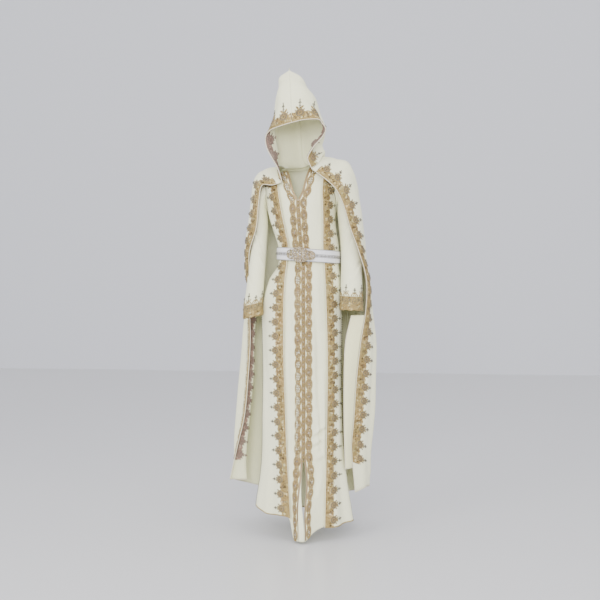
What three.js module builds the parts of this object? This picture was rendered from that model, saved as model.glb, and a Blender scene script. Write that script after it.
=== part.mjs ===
// Takchita: a long buttoned inner dress, an open embroidered gown over it, a belt with an oval clasp and a
// pointed-hood cape. Millimetres, Z up, the front faces -Y. Heights in the tables are from the floor, and each
// finished piece is set down by HELD_Z, so that the origin lies between the shoulders that hold the garment.
import * as THREE from "three";

// ---- named sizes -------------------------------------------------------------------------------------------
const CLOTH = 1.6; // wall of the crepe
const STIFF = 2.4; // cuffs and belt band, with their interlining
const BRAID = 1.5; // couched metal braid lying on the cloth
const SEAM = 0.4; // gap between two pieces at a seam
const LIFT = 0.9; // gap under a trim
const LAYER = 9; // the dress hangs this far inside the gown
const BAND_WIDE = 36; // embroidered band down a gown front
const PLACKET_WIDE = 30; // scalloped braid beside the buttons
const BUTTON_HALF = 3.2; // half width of the button row
const BUST_Z = 1340; // the level where the chest turns up to the shoulder
const UNDERARM_Z = 1290;
const V_BOTTOM_Z = 1307;
const SLIT_MID_Z = 235; // the dress's front slit opens most at this level
const SIDE_SLIT_TOP_Z = 850;

const HELD_Z = 1440;

const IVORY = 0xe6e4d2;
const GOLD = 0xb99b62;
const SILVER = 0xdcdad4;

// Sections of the gown's tube: centre, half width, front and back depth.
const BODY = [
  { z: 1340, cx: -6, a: 146, f: 102, b: 92 },
  { z: 1290, cx: -5, a: 136, f: 108, b: 92 },
  { z: 1240, cx: -2, a: 130, f: 108, b: 90 },
  { z: 1190, cx: 8, a: 124, f: 102, b: 87 },
  { z: 1134, cx: 21, a: 119, f: 95, b: 86 },
  { z: 1098, cx: 22, a: 119, f: 95, b: 86 },
  { z: 1056, cx: 22, a: 120, f: 95, b: 87 },
  { z: 1000, cx: 8, a: 142, f: 104, b: 106 },
  { z: 900, cx: -4, a: 157, f: 109, b: 117 },
  { z: 780, cx: -4, a: 157, f: 111, b: 117 },
  { z: 640, cx: -4, a: 156, f: 112, b: 116 },
  { z: 500, cx: -3, a: 156, f: 114, b: 118 },
  { z: 360, cx: -1, a: 159, f: 119, b: 124 },
  { z: 230, cx: 1, a: 168, f: 127, b: 134 },
  { z: 120, cx: 3, a: 184, f: 137, b: 148 },
  { z: 40, cx: 8, a: 190, f: 144, b: 154 },
];

// Lines down the front: the gown's two open edges and the dress's button line.
const FRONT = [
  { z: 1480, left: -100, placket: -8, right: 96 },
  { z: 1350, left: -86, placket: -7, right: 86 },
  { z: 1280, left: -74, placket: -5, right: 88 },
  { z: 1190, left: -57, placket: 0, right: 89 },
  { z: 1130, left: -47, placket: 4, right: 89 },
  { z: 1065, left: -54, placket: 13, right: 94 },
  { z: 920, left: -61, placket: 15, right: 101 },
  { z: 720, left: -61, placket: 16, right: 106 },
  { z: 500, left: -54, placket: 17, right: 105 },
  { z: 320, left: -46, placket: 17, right: 103 },
  { z: 110, left: -31, placket: 26, right: 102 },
  { z: 0, left: -26, placket: 35, right: 102 },
];

// Soft folds of the skirt: place round the ring, depth at the hem, half width, and where each one starts.
const SKIRT_FOLDS = [
  { at: -66, deep: 9, half: 16, top: 900 },
  { at: -38, deep: -7, half: 13, top: 700 },
  { at: 62, deep: -8, half: 13, top: 560 },
  { at: 78, deep: 10, half: 14, top: 800 },
  { at: 112, deep: -12, half: 16, top: 880 },
  { at: 136, deep: 12, half: 15, top: 960 },
  { at: 160, deep: -12, half: 14, top: 980 },
  { at: 182, deep: 13, half: 15, top: 1000 },
  { at: 205, deep: -12, half: 14, top: 980 },
  { at: 228, deep: 12, half: 15, top: 940 },
  { at: 250, deep: -10, half: 15, top: 880 },
];

// Hem heights round the ring.
const HEM = [
  { at: -180, gown: 62, dress: 70 },
  { at: -110, gown: 100, dress: 112 },
  { at: -75, gown: 118, dress: 130 },
  { at: -45, gown: 94, dress: 106 },
  { at: -26, gown: 96, dress: 106 },
  { at: -13, gown: 92, dress: 84 },
  { at: -8, gown: 84, dress: 18 },
  { at: 0, gown: 72, dress: 12 },
  { at: 8, gown: 62, dress: 12 },
  { at: 20, gown: 58, dress: 44 },
  { at: 42, gown: 52, dress: 62 },
  { at: 75, gown: 62, dress: 74 },
  { at: 110, gown: 62, dress: 72 },
  { at: 180, gown: 62, dress: 70 },
];

const SHOULDER = {
  left: { neckX: -66, neckZ: 1444, endX: -158, endZ: 1396 },
  right: { neckX: 52, neckZ: 1472, endX: 148, endZ: 1444 },
};

// Rings of the sleeves below the armhole: centre, radius across and fore-and-aft, and the ring's tilt in degrees.
const SLEEVE_RIGHT = [
  { x: 165, y: 2, z: 1350, rx: 54, ry: 44, tilt: 60 },
  { x: 173, y: 2, z: 1290, rx: 41, ry: 42, tilt: 26 },
  { x: 180, y: 3, z: 1230, rx: 40, ry: 40, tilt: 8 },
  { x: 187, y: 2, z: 1150, rx: 39, ry: 40, tilt: 4 },
  { x: 192, y: -8, z: 1080, rx: 40, ry: 42, tilt: 4 },
  { x: 195, y: -26, z: 1010, rx: 42, ry: 44, tilt: 2 },
  { x: 196, y: -48, z: 935.6, rx: 43, ry: 44.7, tilt: -2.7 },
];
const SLEEVE_LEFT = [
  { x: -170, y: 2, z: 1322, rx: 46, ry: 42, tilt: 58 },
  { x: -172, y: 2, z: 1272, rx: 33, ry: 38, tilt: 28 },
  { x: -172, y: 2, z: 1220, rx: 31, ry: 36, tilt: 8 },
  { x: -175, y: 1, z: 1150, rx: 30, ry: 35, tilt: 2 },
  { x: -179, y: -8, z: 1080, rx: 31, ry: 35, tilt: 2 },
  { x: -184, y: -26, z: 1000, rx: 33, ry: 36, tilt: 2 },
  { x: -190, y: -52, z: 903.6, rx: 37.9, ry: 38.5, tilt: -12.5 },
];
const CUFFS = {
  right: { x: 196, y: -48, top: 935, bottom: 880, rTop: 43, rBottom: 45, drop: 2 },
  left: { x: -190, y: -52, top: 903, bottom: 852, rTop: 37, rBottom: 39, drop: 8 },
};

// The cape, row by row from the neck to the hem. For each of five places round it (right front edge, right side,
// back, left side, left front edge): angle of the edges, radius from the middle, height.
const CAPE = [
  { toR: 29, toL: 36, rER: 92, zER: 1430, rSR: 78, zSR: 1486, rB: 100, zB: 1452, rSL: 98, zSL: 1449, rEL: 118, zEL: 1378 },
  { toR: 46, toL: 48, rER: 132, zER: 1392, rSR: 128, zSR: 1478, rB: 122, zB: 1428, rSL: 150, zSL: 1439, rEL: 142, zEL: 1367 },
  { toR: 56, toL: 63, rER: 170, zER: 1348, rSR: 188, zSR: 1452, rB: 146, zB: 1385, rSL: 194, zSL: 1404, rEL: 170, zEL: 1366 },
  { toR: 60, toL: 68, rER: 196, zER: 1288, rSR: 224, zSR: 1330, rB: 160, zB: 1300, rSL: 211, zSL: 1318, rEL: 178, zEL: 1306 },
  { toR: 65, toL: 72, rER: 215, zER: 1202, rSR: 243, zSR: 1200, rB: 172, zB: 1180, rSL: 226, zSL: 1200, rEL: 187, zEL: 1200 },
  { toR: 71, toL: 84, rER: 240, zER: 1110, rSR: 250, zSR: 1090, rB: 184, zB: 1050, rSL: 240, zSL: 1100, rEL: 213, zEL: 1105 },
  { toR: 80, toL: 91, rER: 258, zER: 1000, rSR: 268, zSR: 980, rB: 196, zB: 920, rSL: 262, zSL: 990, rEL: 215, zEL: 1000 },
  { toR: 83, toL: 96, rER: 252, zER: 880, rSR: 274, zSR: 860, rB: 206, zB: 800, rSL: 288, zSL: 870, rEL: 220, zEL: 880 },
  { toR: 82, toL: 98, rER: 234, zER: 760, rSR: 279, zSR: 740, rB: 214, zB: 670, rSL: 306, zSL: 740, rEL: 220, zEL: 760 },
  { toR: 84, toL: 98, rER: 216, zER: 620, rSR: 279, zSR: 600, rB: 222, zB: 520, rSL: 312, zSL: 600, rEL: 228, zEL: 620 },
  { toR: 84, toL: 96, rER: 204, zER: 450, rSR: 270, zSR: 440, rB: 232, zB: 360, rSL: 322, zSL: 440, rEL: 241, zEL: 460 },
  { toR: 84, toL: 93, rER: 196, zER: 340, rSR: 260, zSR: 300, rB: 240, zB: 220, rSL: 322, zSL: 310, rEL: 266, zEL: 340 },
  { toR: 84, toL: 90, rER: 210, zER: 172, rSR: 254, zSR: 185, rB: 248, zB: 92, rSL: 312, zSL: 190, rEL: 294, zEL: 205 },
];

// Flutes of the cape: share of the way round from the right front edge, depth at the hem, half width, first row,
// share of the depth at the start, and rows taken to open. The last two make the left edge's outward turn.
const FLUTES = [
  { at: 0.13, deep: 10, half: 0.06, from: 5, early: 0.35, rise: 3 },
  { at: 0.22, deep: -16, half: 0.07, from: 3, early: 0.35, rise: 3 },
  { at: 0.32, deep: 18, half: 0.065, from: 3, early: 0.35, rise: 3 },
  { at: 0.42, deep: -18, half: 0.06, from: 2, early: 0.35, rise: 3 },
  { at: 0.51, deep: 20, half: 0.06, from: 3, early: 0.35, rise: 3 },
  { at: 0.6, deep: -18, half: 0.06, from: 2, early: 0.35, rise: 3 },
  { at: 0.69, deep: 18, half: 0.065, from: 3, early: 0.35, rise: 3 },
  { at: 0.77, deep: -14, half: 0.06, from: 4, early: 0.35, rise: 3 },
  { at: 0.865, deep: 20, half: 0.05, from: 6, early: 0.6, rise: 2 },
  { at: 0.935, deep: -70, half: 0.055, from: 5.6, early: 1, rise: 1.6 },
];

// The plain border turned in low on the right front edge: its inner edge, row by row.
const FACING = [
  { z: 862, x: 196, y: -44 },
  { z: 760, x: 174, y: -48 },
  { z: 620, x: 168, y: -50 },
  { z: 450, x: 168, y: -52 },
  { z: 340, x: 171, y: -54 },
  { z: 268, x: 174, y: -56 },
];

// The hood, row by row from the seam over the forehead to the neck: face edge, widest side, and rear seam.
const HOOD = [
  { eL: -29, eR: -27, eY: -112, eZL: 1605, eZR: 1605, sL: -43, sR: -41, sY: -62, sZL: 1752, sZR: 1752, bX: -56, bY: 4, bZ: 1824 },
  { eL: -74, eR: 16, eY: -106, eZL: 1593, eZR: 1615, sL: -78, sR: 4, sY: -52, sZL: 1738, sZR: 1738, bX: -57, bY: 24, bZ: 1817 },
  { eL: -110, eR: 70, eY: -88, eZL: 1584, eZR: 1619, sL: -90, sR: 34, sY: -26, sZL: 1706, sZR: 1706, bX: -44, bY: 62, bZ: 1768 },
  { eL: -131, eR: 86, eY: -76, eZL: 1569, eZR: 1605, sL: -99, sR: 50, sY: -4, sZL: 1655, sZR: 1655, bX: -34, bY: 92, bZ: 1704 },
  { eL: -138, eR: 99, eY: -74, eZL: 1546, eZR: 1580, sL: -94, sR: 70, sY: 8, sZL: 1600, sZR: 1604, bX: -28, bY: 108, bZ: 1645 },
  { eL: -131, eR: 85, eY: -78, eZL: 1512, eZR: 1550, sL: -88, sR: 68, sY: 14, sZL: 1550, sZR: 1562, bX: -24, bY: 112, bZ: 1585 },
  { eL: -112, eR: 52, eY: -83, eZL: 1476, eZR: 1512, sL: -84, sR: 58, sY: 14, sZL: 1512, sZR: 1532, bX: -20, bY: 108, bZ: 1530 },
  { eL: -88, eR: 30, eY: -86, eZL: 1434, eZR: 1470, sL: -90, sR: 66, sY: 12, sZL: 1474, sZR: 1508, bX: -14, bY: 102, bZ: 1488 },
  { eL: -68, eR: 44, eY: -88, eZL: 1382, eZR: 1435, sL: -99, sR: 78, sY: 6, sZL: 1446, sZR: 1492, bX: -4, bY: 100, bZ: 1458 },
];

// ---- helpers -----------------------------------------------------------------------------------------------
const rad = (d) => (d * Math.PI) / 180;
const mix = (p, q, t) => p + (q - p) * t;
const clamp = (t) => Math.min(1, Math.max(0, t));
const ease = (t) => clamp(t) * clamp(t) * (3 - 2 * clamp(t));
const bump = (t) => (Math.abs(t) < 1 ? Math.cos((t * Math.PI) / 2) ** 2 : 0);

// Smooth reading of a table's column at a value of its key, which may rise or fall.
function read(rows, key, t, col) {
  const up = rows[1][key] > rows[0][key] ? 1 : -1;
  let i = 0;
  while (i < rows.length - 2 && up * (t - rows[i + 1][key]) > 0) i += 1;
  const k = (n) => rows[Math.min(rows.length - 1, Math.max(0, n))];
  const s = clamp((t - k(i)[key]) / (k(i + 1)[key] - k(i)[key]));
  const slope = (n) => {
    const span = k(n + 1)[key] - k(n - 1)[key];
    return span === 0 ? 0 : (k(n + 1)[col] - k(n - 1)[col]) / span;
  };
  const step = k(i + 1)[key] - k(i)[key];
  const h00 = (1 + 2 * s) * (1 - s) * (1 - s);
  const h10 = s * (1 - s) * (1 - s);
  const h01 = s * s * (3 - 2 * s);
  const h11 = s * s * (s - 1);
  return h00 * k(i)[col] + h10 * step * slope(i) + h01 * k(i + 1)[col] + h11 * step * slope(i + 1);
}

// Outward normals of a grid of points. Columns run round from the front to the wearer's left, rows run down.
function normals(grid, closed) {
  const rows = grid.length;
  const cols = grid[0].length;
  const at = (r, c) => grid[Math.min(rows - 1, Math.max(0, r))][closed ? (c + cols) % cols : Math.min(cols - 1, Math.max(0, c))];
  return grid.map((line, r) =>
    line.map((_, c) => {
      const down = at(r + 1, c).clone().sub(at(r - 1, c));
      const round = at(r, c + 1).clone().sub(at(r, c - 1));
      return down.cross(round).normalize();
    }),
  );
}

const parts = new THREE.Group();
parts.name = "takchita";

// Normals of a body panel, turned square to the shoulder and side seams so that the two walls stay apart there.
function seamNormals(grid, seamCols) {
  const norm = normals(grid, false);
  norm[0].forEach((n) => n.setY(0).normalize());
  norm.slice(4).forEach((line) => seamCols.forEach((c) => line[c].setY(0).normalize()));
  return norm;
}

// One closed wall: the grid is its outer face, and the inner face lies `thick` inside it.
function wall(name, grid, thick, colour, options = {}) {
  const { closed = false, norm = normals(grid, closed), metal = 0, rough = 0.7 } = options;
  const rows = grid.length;
  const cols = grid[0].length;
  const position = [];
  grid.forEach((line) => line.forEach((p) => position.push(p.x, p.y, p.z)));
  grid.forEach((line, r) =>
    line.forEach((p, c) => {
      const q = p.clone().addScaledVector(norm[r][c], -thick);
      position.push(q.x, q.y, q.z);
    }),
  );
  const out = (r, c) => r * cols + (closed ? c % cols : c);
  const inn = (r, c) => rows * cols + out(r, c);
  const index = [];
  const quad = (a, b, c, d) => index.push(a, b, c, a, c, d);
  const wide = closed ? cols : cols - 1;
  for (let r = 0; r < rows - 1; r += 1) {
    for (let c = 0; c < wide; c += 1) {
      quad(out(r, c), out(r + 1, c), out(r + 1, c + 1), out(r, c + 1));
      quad(inn(r, c), inn(r, c + 1), inn(r + 1, c + 1), inn(r + 1, c));
    }
  }
  for (let c = 0; c < wide; c += 1) {
    quad(out(0, c), out(0, c + 1), inn(0, c + 1), inn(0, c));
    quad(out(rows - 1, c + 1), out(rows - 1, c), inn(rows - 1, c), inn(rows - 1, c + 1));
  }
  if (!closed) {
    for (let r = 0; r < rows - 1; r += 1) {
      quad(out(r, 0), inn(r, 0), inn(r + 1, 0), out(r + 1, 0));
      quad(out(r, cols - 1), out(r + 1, cols - 1), inn(r + 1, cols - 1), inn(r, cols - 1));
    }
  }
  const geometry = new THREE.BufferGeometry();
  geometry.setAttribute("position", new THREE.Float32BufferAttribute(position, 3));
  geometry.setIndex(index);
  geometry.computeVertexNormals();
  const material = new THREE.MeshStandardMaterial({ color: colour, roughness: rough, metalness: metal });
  const mesh = new THREE.Mesh(geometry, material);
  mesh.name = name;
  mesh.position.z = -HELD_Z;
  parts.add(mesh);
  return { grid, norm };
}

// A trim lying on a panel: the panel's own points between two columns (fractions allowed), moved out.
function trim(name, panel, r0, r1, colsAt, thick, colour, options = {}) {
  const { grid, norm } = panel;
  const lift = options.lift ?? LIFT;
  const pick = (field, r, c) => {
    const i = Math.min(grid.length - 2, Math.floor(r));
    const j = Math.min(grid[0].length - 2, Math.floor(c));
    const top = field[i][j].clone().lerp(field[i][j + 1], c - j);
    const low = field[i + 1][j].clone().lerp(field[i + 1][j + 1], c - j);
    return top.lerp(low, r - i);
  };
  const levels = [r0];
  for (let r = Math.floor(r0) + 1; r < r1; r += 1) levels.push(r);
  levels.push(r1);
  const across = (r) => {
    const [c0, c1] = colsAt(r);
    const stops = [c0];
    for (let c = Math.floor(c0) + 1; c < c1; c += 1) stops.push(c);
    return [...stops, c1];
  };
  const own = levels.map((r) =>
    across(r).map((c) => {
      const n = pick(norm, r, c).normalize();
      return { p: pick(grid, r, c).addScaledVector(n, lift + thick), n };
    }),
  );
  return wall(
    name,
    own.map((line) => line.map((o) => o.p)),
    thick,
    colour,
    { ...options, norm: own.map((line) => line.map((o) => o.n)) },
  );
}

// ---- dress and gown ----------------------------------------------------------------------------------------
const turn = (deg) => ((((deg + 180) % 360) + 360) % 360) - 180;

function skirtFold(deg, z) {
  return SKIRT_FOLDS.reduce((sum, f) => {
    const grow = ease((f.top - z) / (f.top - 60));
    return sum + f.deep * grow * bump(turn(deg - f.at) / f.half);
  }, 0);
}

// A point of the tube at an angle and a height, `inside` millimetres within the gown's face.
function tube(deg, z, inside) {
  const level = (col) => read(BODY, "z", z, col);
  const near = Math.cos(rad(deg)) > 0 ? "f" : "b";
  const grow = skirtFold(deg, z) - inside;
  const x = level("cx") + (level("a") + grow) * Math.sin(rad(deg));
  const y = -(level(near) + grow) * Math.cos(rad(deg));
  return new THREE.Vector3(x, y, z);
}

const angleOf = (x, z, inside) =>
  (Math.asin((x - read(BODY, "z", z, "cx")) / (read(BODY, "z", z, "a") - inside)) * 180) / Math.PI;
const hemAt = (deg, layer) => read(HEM, "at", turn(deg), layer);

const TURN_UP = [0, 0.34, 0.67];
const LEVELS = [1340, V_BOTTOM_Z, 1262, 1210, 1162, 1132, 1058, 1015, 940, 830, 700, 560, 430, 310];
const LOW_SHARES = [0.6, 0.25, 0]; // the last rows, as shares of the way from the hem up to the last level

function seamPoint(side, x, inside, back) {
  const s = SHOULDER[side];
  const t = (x - s.neckX) / (s.endX - s.neckX);
  return new THREE.Vector3(x, back ? 4 + SEAM : 4, mix(s.neckZ, s.endZ, t) - inside * 1.25);
}

// The kick of the dress's front corners at the floor.
function kick(p, layer) {
  if (layer !== "dress") return p;
  const low = ease((300 - p.z) / 290);
  const side = bump((p.x - 14) / (p.x < 14 ? 50 : 92));
  p.y -= 46 * low * side;
  return p;
}

// The gown's left side slit lies further to the front than its seam.
const slitTurn = (side, layer, z) => (side === "left" && layer === "gown" ? 15 * ease((SIDE_SLIT_TOP_Z - z) / 450) : 0);

// A front panel: `inner(z)` is its free edge, `steps(z)` the distances of its trim columns from that edge.
function frontPanel(side, inner, layer, inside, steps, cols, veer = () => 0) {
  const sign = side === "right" ? 1 : -1;
  const seamDeg = (z) => 90 - 0.16 - (layer === "gown" && z < SIDE_SLIT_TOP_Z ? 1.4 : 0) - slitTurn(side, layer, z);
  const ring = (z, endDeg, share = null) => {
    const edge = inner(z);
    const marks = steps.map((d) => angleOf(edge + sign * (d > 0 ? d + veer(z) : 0), z, inside) * sign);
    const last = marks[marks.length - 1];
    const angles = [...marks];
    for (let c = 1; c <= cols; c += 1) angles.push(mix(last, endDeg, c / cols));
    return angles.map((deg) => {
      const level = share === null ? z : mix(hemAt(sign * deg, layer), LEVELS[LEVELS.length - 1], share);
      return kick(tube(sign * deg, level, inside), layer);
    });
  };
  const chest = ring(BUST_Z, 66);
  const neck = inner(1480);
  const far = SHOULDER[side].endX;
  const seam = chest.map((_, c) => {
    const t = c < steps.length ? steps[c] / Math.abs(far - neck) : 0;
    const from = steps[steps.length - 1] / Math.abs(far - neck);
    const share = c < steps.length ? t : mix(from, 1, (c - steps.length + 1) / cols);
    return seamPoint(side, mix(neck, far, share), inside, false);
  });
  const grid = TURN_UP.map((t) =>
    chest.map((p, c) => {
      const q = seam[c];
      const s = Math.sin((t * Math.PI) / 2);
      const k = Math.cos((t * Math.PI) / 2);
      return new THREE.Vector3(mix(q.x, p.x, t), mix(q.y, p.y, s), mix(p.z, q.z, k));
    }),
  );
  grid.push(chest);
  LEVELS.slice(1).forEach((z) => grid.push(ring(z, z > UNDERARM_Z ? 80 : seamDeg(z))));
  const around = hemAt(sign * 45, layer);
  LOW_SHARES.forEach((share) => grid.push(ring(mix(around, 310, share), seamDeg(0), share)));
  if (side === "left") grid.forEach((line) => line.reverse());
  return grid;
}

function backPanel(layer, inside, cols) {
  const leftTurn = (z) => slitTurn("left", layer, z);
  const start = (z) => 90 + 0.16 + (layer === "gown" && z < SIDE_SLIT_TOP_Z ? 2.2 : 0);
  const ring = (z, from, share = null) =>
    Array.from({ length: cols + 1 }, (_, c) => {
      const deg = mix(from, 360 - from + leftTurn(share === null ? z : 200), c / cols);
      return tube(deg, share === null ? z : mix(hemAt(deg, layer), LEVELS[LEVELS.length - 1], share), inside);
    });
  const chest = ring(BUST_Z, 114);
  const { left, right } = SHOULDER;
  const seam = chest.map((_, c) => {
    const x = mix(right.endX, left.endX, c / cols);
    if (x > right.neckX) return seamPoint("right", x, inside, true);
    if (x < left.neckX) return seamPoint("left", x, inside, true);
    const t = (x - left.neckX) / (right.neckX - left.neckX);
    const arch = Math.sin(Math.PI * t);
    return new THREE.Vector3(x, 4 + SEAM + 44 * arch, mix(left.neckZ, right.neckZ, t) - 8 * arch - inside * 1.25);
  });
  const grid = TURN_UP.map((t) =>
    chest.map((p, c) => {
      const q = seam[c];
      const s = Math.sin((t * Math.PI) / 2);
      const k = Math.cos((t * Math.PI) / 2);
      return new THREE.Vector3(mix(q.x, p.x, t), mix(q.y, p.y, s), mix(p.z, q.z, k));
    }),
  );
  grid.push(chest);
  LEVELS.slice(1).forEach((z) => grid.push(ring(z, z > UNDERARM_Z ? 100 : start(z))));
  LOW_SHARES.forEach((share) => grid.push(ring(0, start(0), share)));
  return grid;
}

// The dress's free edge: the V of the neck, the closed button line, then the slit at the foot.
function dressEdge(sign) {
  return (z) => {
    const line = read(FRONT, "z", Math.min(z, BUST_Z), "placket");
    if (z >= 1400) return sign > 0 ? SHOULDER.right.neckX : SHOULDER.left.neckX;
    if (z > V_BOTTOM_Z + 1) return line + sign * 17;
    const open = 9 * bump((z - SLIT_MID_Z) / 110);
    return line + sign * (SEAM / 2 + open);
  };
}

// At the foot the left braid leaves its edge, and a plain strip opens between the two.
const braidVeer = (z) => 22 * ease((250 - z) / 190);
const dressSteps = [0, BUTTON_HALF, BUTTON_HALF + PLACKET_WIDE, BUTTON_HALF + PLACKET_WIDE + 20];
function panel(name, grid, ends) {
  const cols = ends.map((e) => (e === "last" ? grid[0].length - 1 : 0));
  return wall(name, grid, CLOTH, IVORY, { norm: seamNormals(grid, cols) });
}
const dressRight = panel("dress_front_right", frontPanel("right", dressEdge(1), "dress", LAYER, dressSteps, 4), ["last"]);
const dressLeft = panel("dress_front_left", frontPanel("left", dressEdge(-1), "dress", LAYER, dressSteps, 5, braidVeer), ["first"]);
panel("dress_back", backPanel("dress", LAYER, 12), ["first", "last"]);

const gownEdge = (col) => (z) => read(FRONT, "z", z, col);
const gownRight = panel("gown_front_right", frontPanel("right", gownEdge("right"), "gown", 0, [0, BAND_WIDE], 4), ["last"]);
const gownLeft = panel("gown_front_left", frontPanel("left", gownEdge("left"), "gown", 0, [0, BAND_WIDE], 5), ["first"]);
const gownBack = panel("gown_back", backPanel("gown", 0, 14), ["first", "last"]);

// Braids beside the buttons, following the V of the neck, and the button row between them.
const lastRow = dressRight.grid.length - 1;
trim("placket_braid_right", dressRight, 0.1, lastRow - 0.12, () => [1.04, 2], BRAID, GOLD, { metal: 0.6, rough: 0.4 });
const leftCols = dressLeft.grid[0].length - 1;
trim("placket_braid_left", dressLeft, 0.1, lastRow - 0.12, () => [leftCols - 2, leftCols - 1.04], BRAID, GOLD, { metal: 0.6, rough: 0.4 });

const vRow = TURN_UP.length + 1;
const slitRow = TURN_UP.length + LEVELS.indexOf(430);
const buttonGrid = [];
const buttonNorm = [];
for (let r = vRow; r <= slitRow; r += 1) {
  const p = dressLeft.grid[r][leftCols].clone().lerp(dressRight.grid[r][0], 0.5);
  const n = dressLeft.norm[r][leftCols].clone().add(dressRight.norm[r][0]).normalize();
  const across = dressRight.grid[r][1].clone().sub(dressLeft.grid[r][leftCols - 1]).normalize();
  const centre = p.addScaledVector(n, LIFT + 2.6);
  buttonGrid.push([-1, 1].map((s) => centre.clone().addScaledVector(across, s * 2.6)));
  buttonNorm.push([n, n]);
}
wall("button_row", buttonGrid, 2.6, GOLD, { norm: buttonNorm, metal: 0.6, rough: 0.4 });

// Embroidered bands down the gown's front edges, and cords round its hem and side slits.
const gownRows = gownRight.grid.length - 1;
const gownLeftCols = gownLeft.grid[0].length - 1;
trim("gown_band_right", gownRight, 0.1, gownRows - 0.02, () => [0.05, 1], BRAID, GOLD, { metal: 0.6, rough: 0.4 });
trim("gown_band_left", gownLeft, 0.1, gownRows - 0.02, () => [gownLeftCols - 1, gownLeftCols - 0.05], BRAID, GOLD, {
  metal: 0.6,
  rough: 0.4,
});
const slitTop = TURN_UP.length + LEVELS.indexOf(830);
const rightEnd = gownRight.grid[0].length - 1;
trim("slit_trim_right", gownRight, slitTop, gownRows - 0.2, () => [rightEnd - 0.16, rightEnd - 0.02], BRAID, GOLD);
trim("slit_trim_left", gownLeft, slitTop, gownRows - 0.2, () => [0.02, 0.14], BRAID, GOLD);

function hemCord(name, panel, c0, c1) {
  const last = panel.grid.length - 1;
  const own = { grid: [], norm: [] };
  const pickRow = (share) => {
    const points = [];
    const norms = [];
    const stops = [c0];
    for (let c = Math.floor(c0) + 1; c < c1; c += 1) stops.push(c);
    stops.push(c1);
    stops.forEach((c) => {
      const j = Math.min(panel.grid[0].length - 2, Math.floor(c));
      const f = c - j;
      const low = panel.grid[last][j].clone().lerp(panel.grid[last][j + 1], f);
      const high = panel.grid[last - 1][j].clone().lerp(panel.grid[last - 1][j + 1], f);
      const n = panel.norm[last][j].clone().lerp(panel.norm[last][j + 1], f).normalize();
      const up = high.sub(low).normalize();
      points.push(low.addScaledVector(up, share).addScaledVector(n, LIFT + 2));
      norms.push(n);
    });
    own.grid.push(points);
    own.norm.push(norms);
  };
  pickRow(6.5);
  pickRow(1);
  wall(name, own.grid, 2, GOLD, { norm: own.norm, metal: 0.6, rough: 0.4 });
}
hemCord("gown_hem_cord_right", gownRight, 1.1, rightEnd - 0.25);
hemCord("gown_hem_cord_left", gownLeft, 0.25, gownLeftCols - 1.1);
hemCord("gown_hem_cord_back", gownBack, 0.06, gownBack.grid[0].length - 1.06);

// ---- sleeves and cuffs -------------------------------------------------------------------------------------
function sleeve(side, front, frontCol, backCol, rings) {
  const low = TURN_UP.length + 2;
  const loop = [];
  const push = (p, q) => {
    loop.push(p.clone());
    loop.push(p.clone().lerp(q, 0.5));
  };
  for (let r = low; r > 0; r -= 1) push(front.grid[r][frontCol], front.grid[r - 1][frontCol]);
  for (let r = 0; r < low; r += 1) push(gownBack.grid[r][backCol], gownBack.grid[r + 1][backCol]);
  const count = loop.length;
  const sign = side === "right" ? 1 : -1;
  const middle = loop.reduce((s, p) => s.add(p), new THREE.Vector3()).divideScalar(count);
  const grid = [
    loop.map((p) => {
      const q = p.clone().lerp(middle, -0.02);
      q.x += sign * 2.2;
      return q;
    }),
  ];
  rings.forEach((k) => {
    grid.push(
      loop.map((_, c) => {
        const a = rad(270 + (360 * c) / count);
        const o = new THREE.Vector3(sign * Math.cos(rad(k.tilt)), 0, Math.sin(rad(k.tilt)));
        const p = new THREE.Vector3(k.x, k.y - k.ry * Math.cos(a), k.z);
        return p.addScaledVector(o, k.rx * Math.sin(a));
      }),
    );
  });
  if (side === "left") grid.forEach((line) => line.reverse());
  return wall("sleeve_" + side, grid, CLOTH, IVORY, { closed: true });
}
sleeve("right", gownRight, rightEnd, 0, SLEEVE_RIGHT);
sleeve("left", gownLeft, 0, gownBack.grid[0].length - 1, SLEEVE_LEFT);

function cuff(side) {
  const k = CUFFS[side];
  const around = 18;
  const grid = [0, 0.45, 1].map((t) =>
    Array.from({ length: around }, (_, c) => {
      const a = rad((360 * c) / around);
      const r = mix(k.rTop, k.rBottom, t);
      const z = mix(k.top, k.bottom, t) + k.drop * Math.sin(a) * (side === "right" ? -1 : 1);
      return new THREE.Vector3(k.x + r * Math.sin(a), k.y - r * 1.04 * Math.cos(a), z);
    }),
  );
  wall("cuff_" + side, grid, STIFF, GOLD, { closed: true, metal: 0.5, rough: 0.45 });
}
cuff("right");
cuff("left");

// ---- belt --------------------------------------------------------------------------------------------------
const BELT_TALL = 50;
const BELT_TILT = -0.066;
function beltPoint(deg, dz, out) {
  const p = tube(deg, 1098, -out);
  p.z = 1095 + BELT_TILT * (p.x - 22) + dz;
  return p;
}
const beltRow = (dz, out, count) => Array.from({ length: count }, (_, c) => beltPoint((360 * c) / count, dz, out));
wall("belt_band", [BELT_TALL / 2, 0, -BELT_TALL / 2].map((dz) => beltRow(dz, 6.2, 36)), STIFF, SILVER, {
  closed: true,
  rough: 0.35,
});
wall("belt_bead_line", [5, -5].map((dz) => beltRow(dz, 8.6, 36)), BRAID, GOLD, { closed: true, metal: 0.7, rough: 0.35 });
const CLASP = { half: 49, tall: 34, at: -8, out: 13.4, thick: 3.4 };
const claspGrid = [1, 0.5, 0, -0.5, -1].map((v) =>
  Array.from({ length: 13 }, (_, c) => {
    const u = (c - 6) / 6;
    const high = Math.max(1.5, CLASP.tall * (1 - Math.abs(u) ** 1.7));
    const p = beltPoint(CLASP.at + (u * CLASP.half * 180) / (Math.PI * 108), v * high, CLASP.out);
    p.y -= 4 * (1 - u * u) * (1 - v * v);
    return p;
  }),
);
wall("belt_clasp", claspGrid, CLASP.thick, GOLD, { metal: 0.9, rough: 0.3 });

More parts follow.
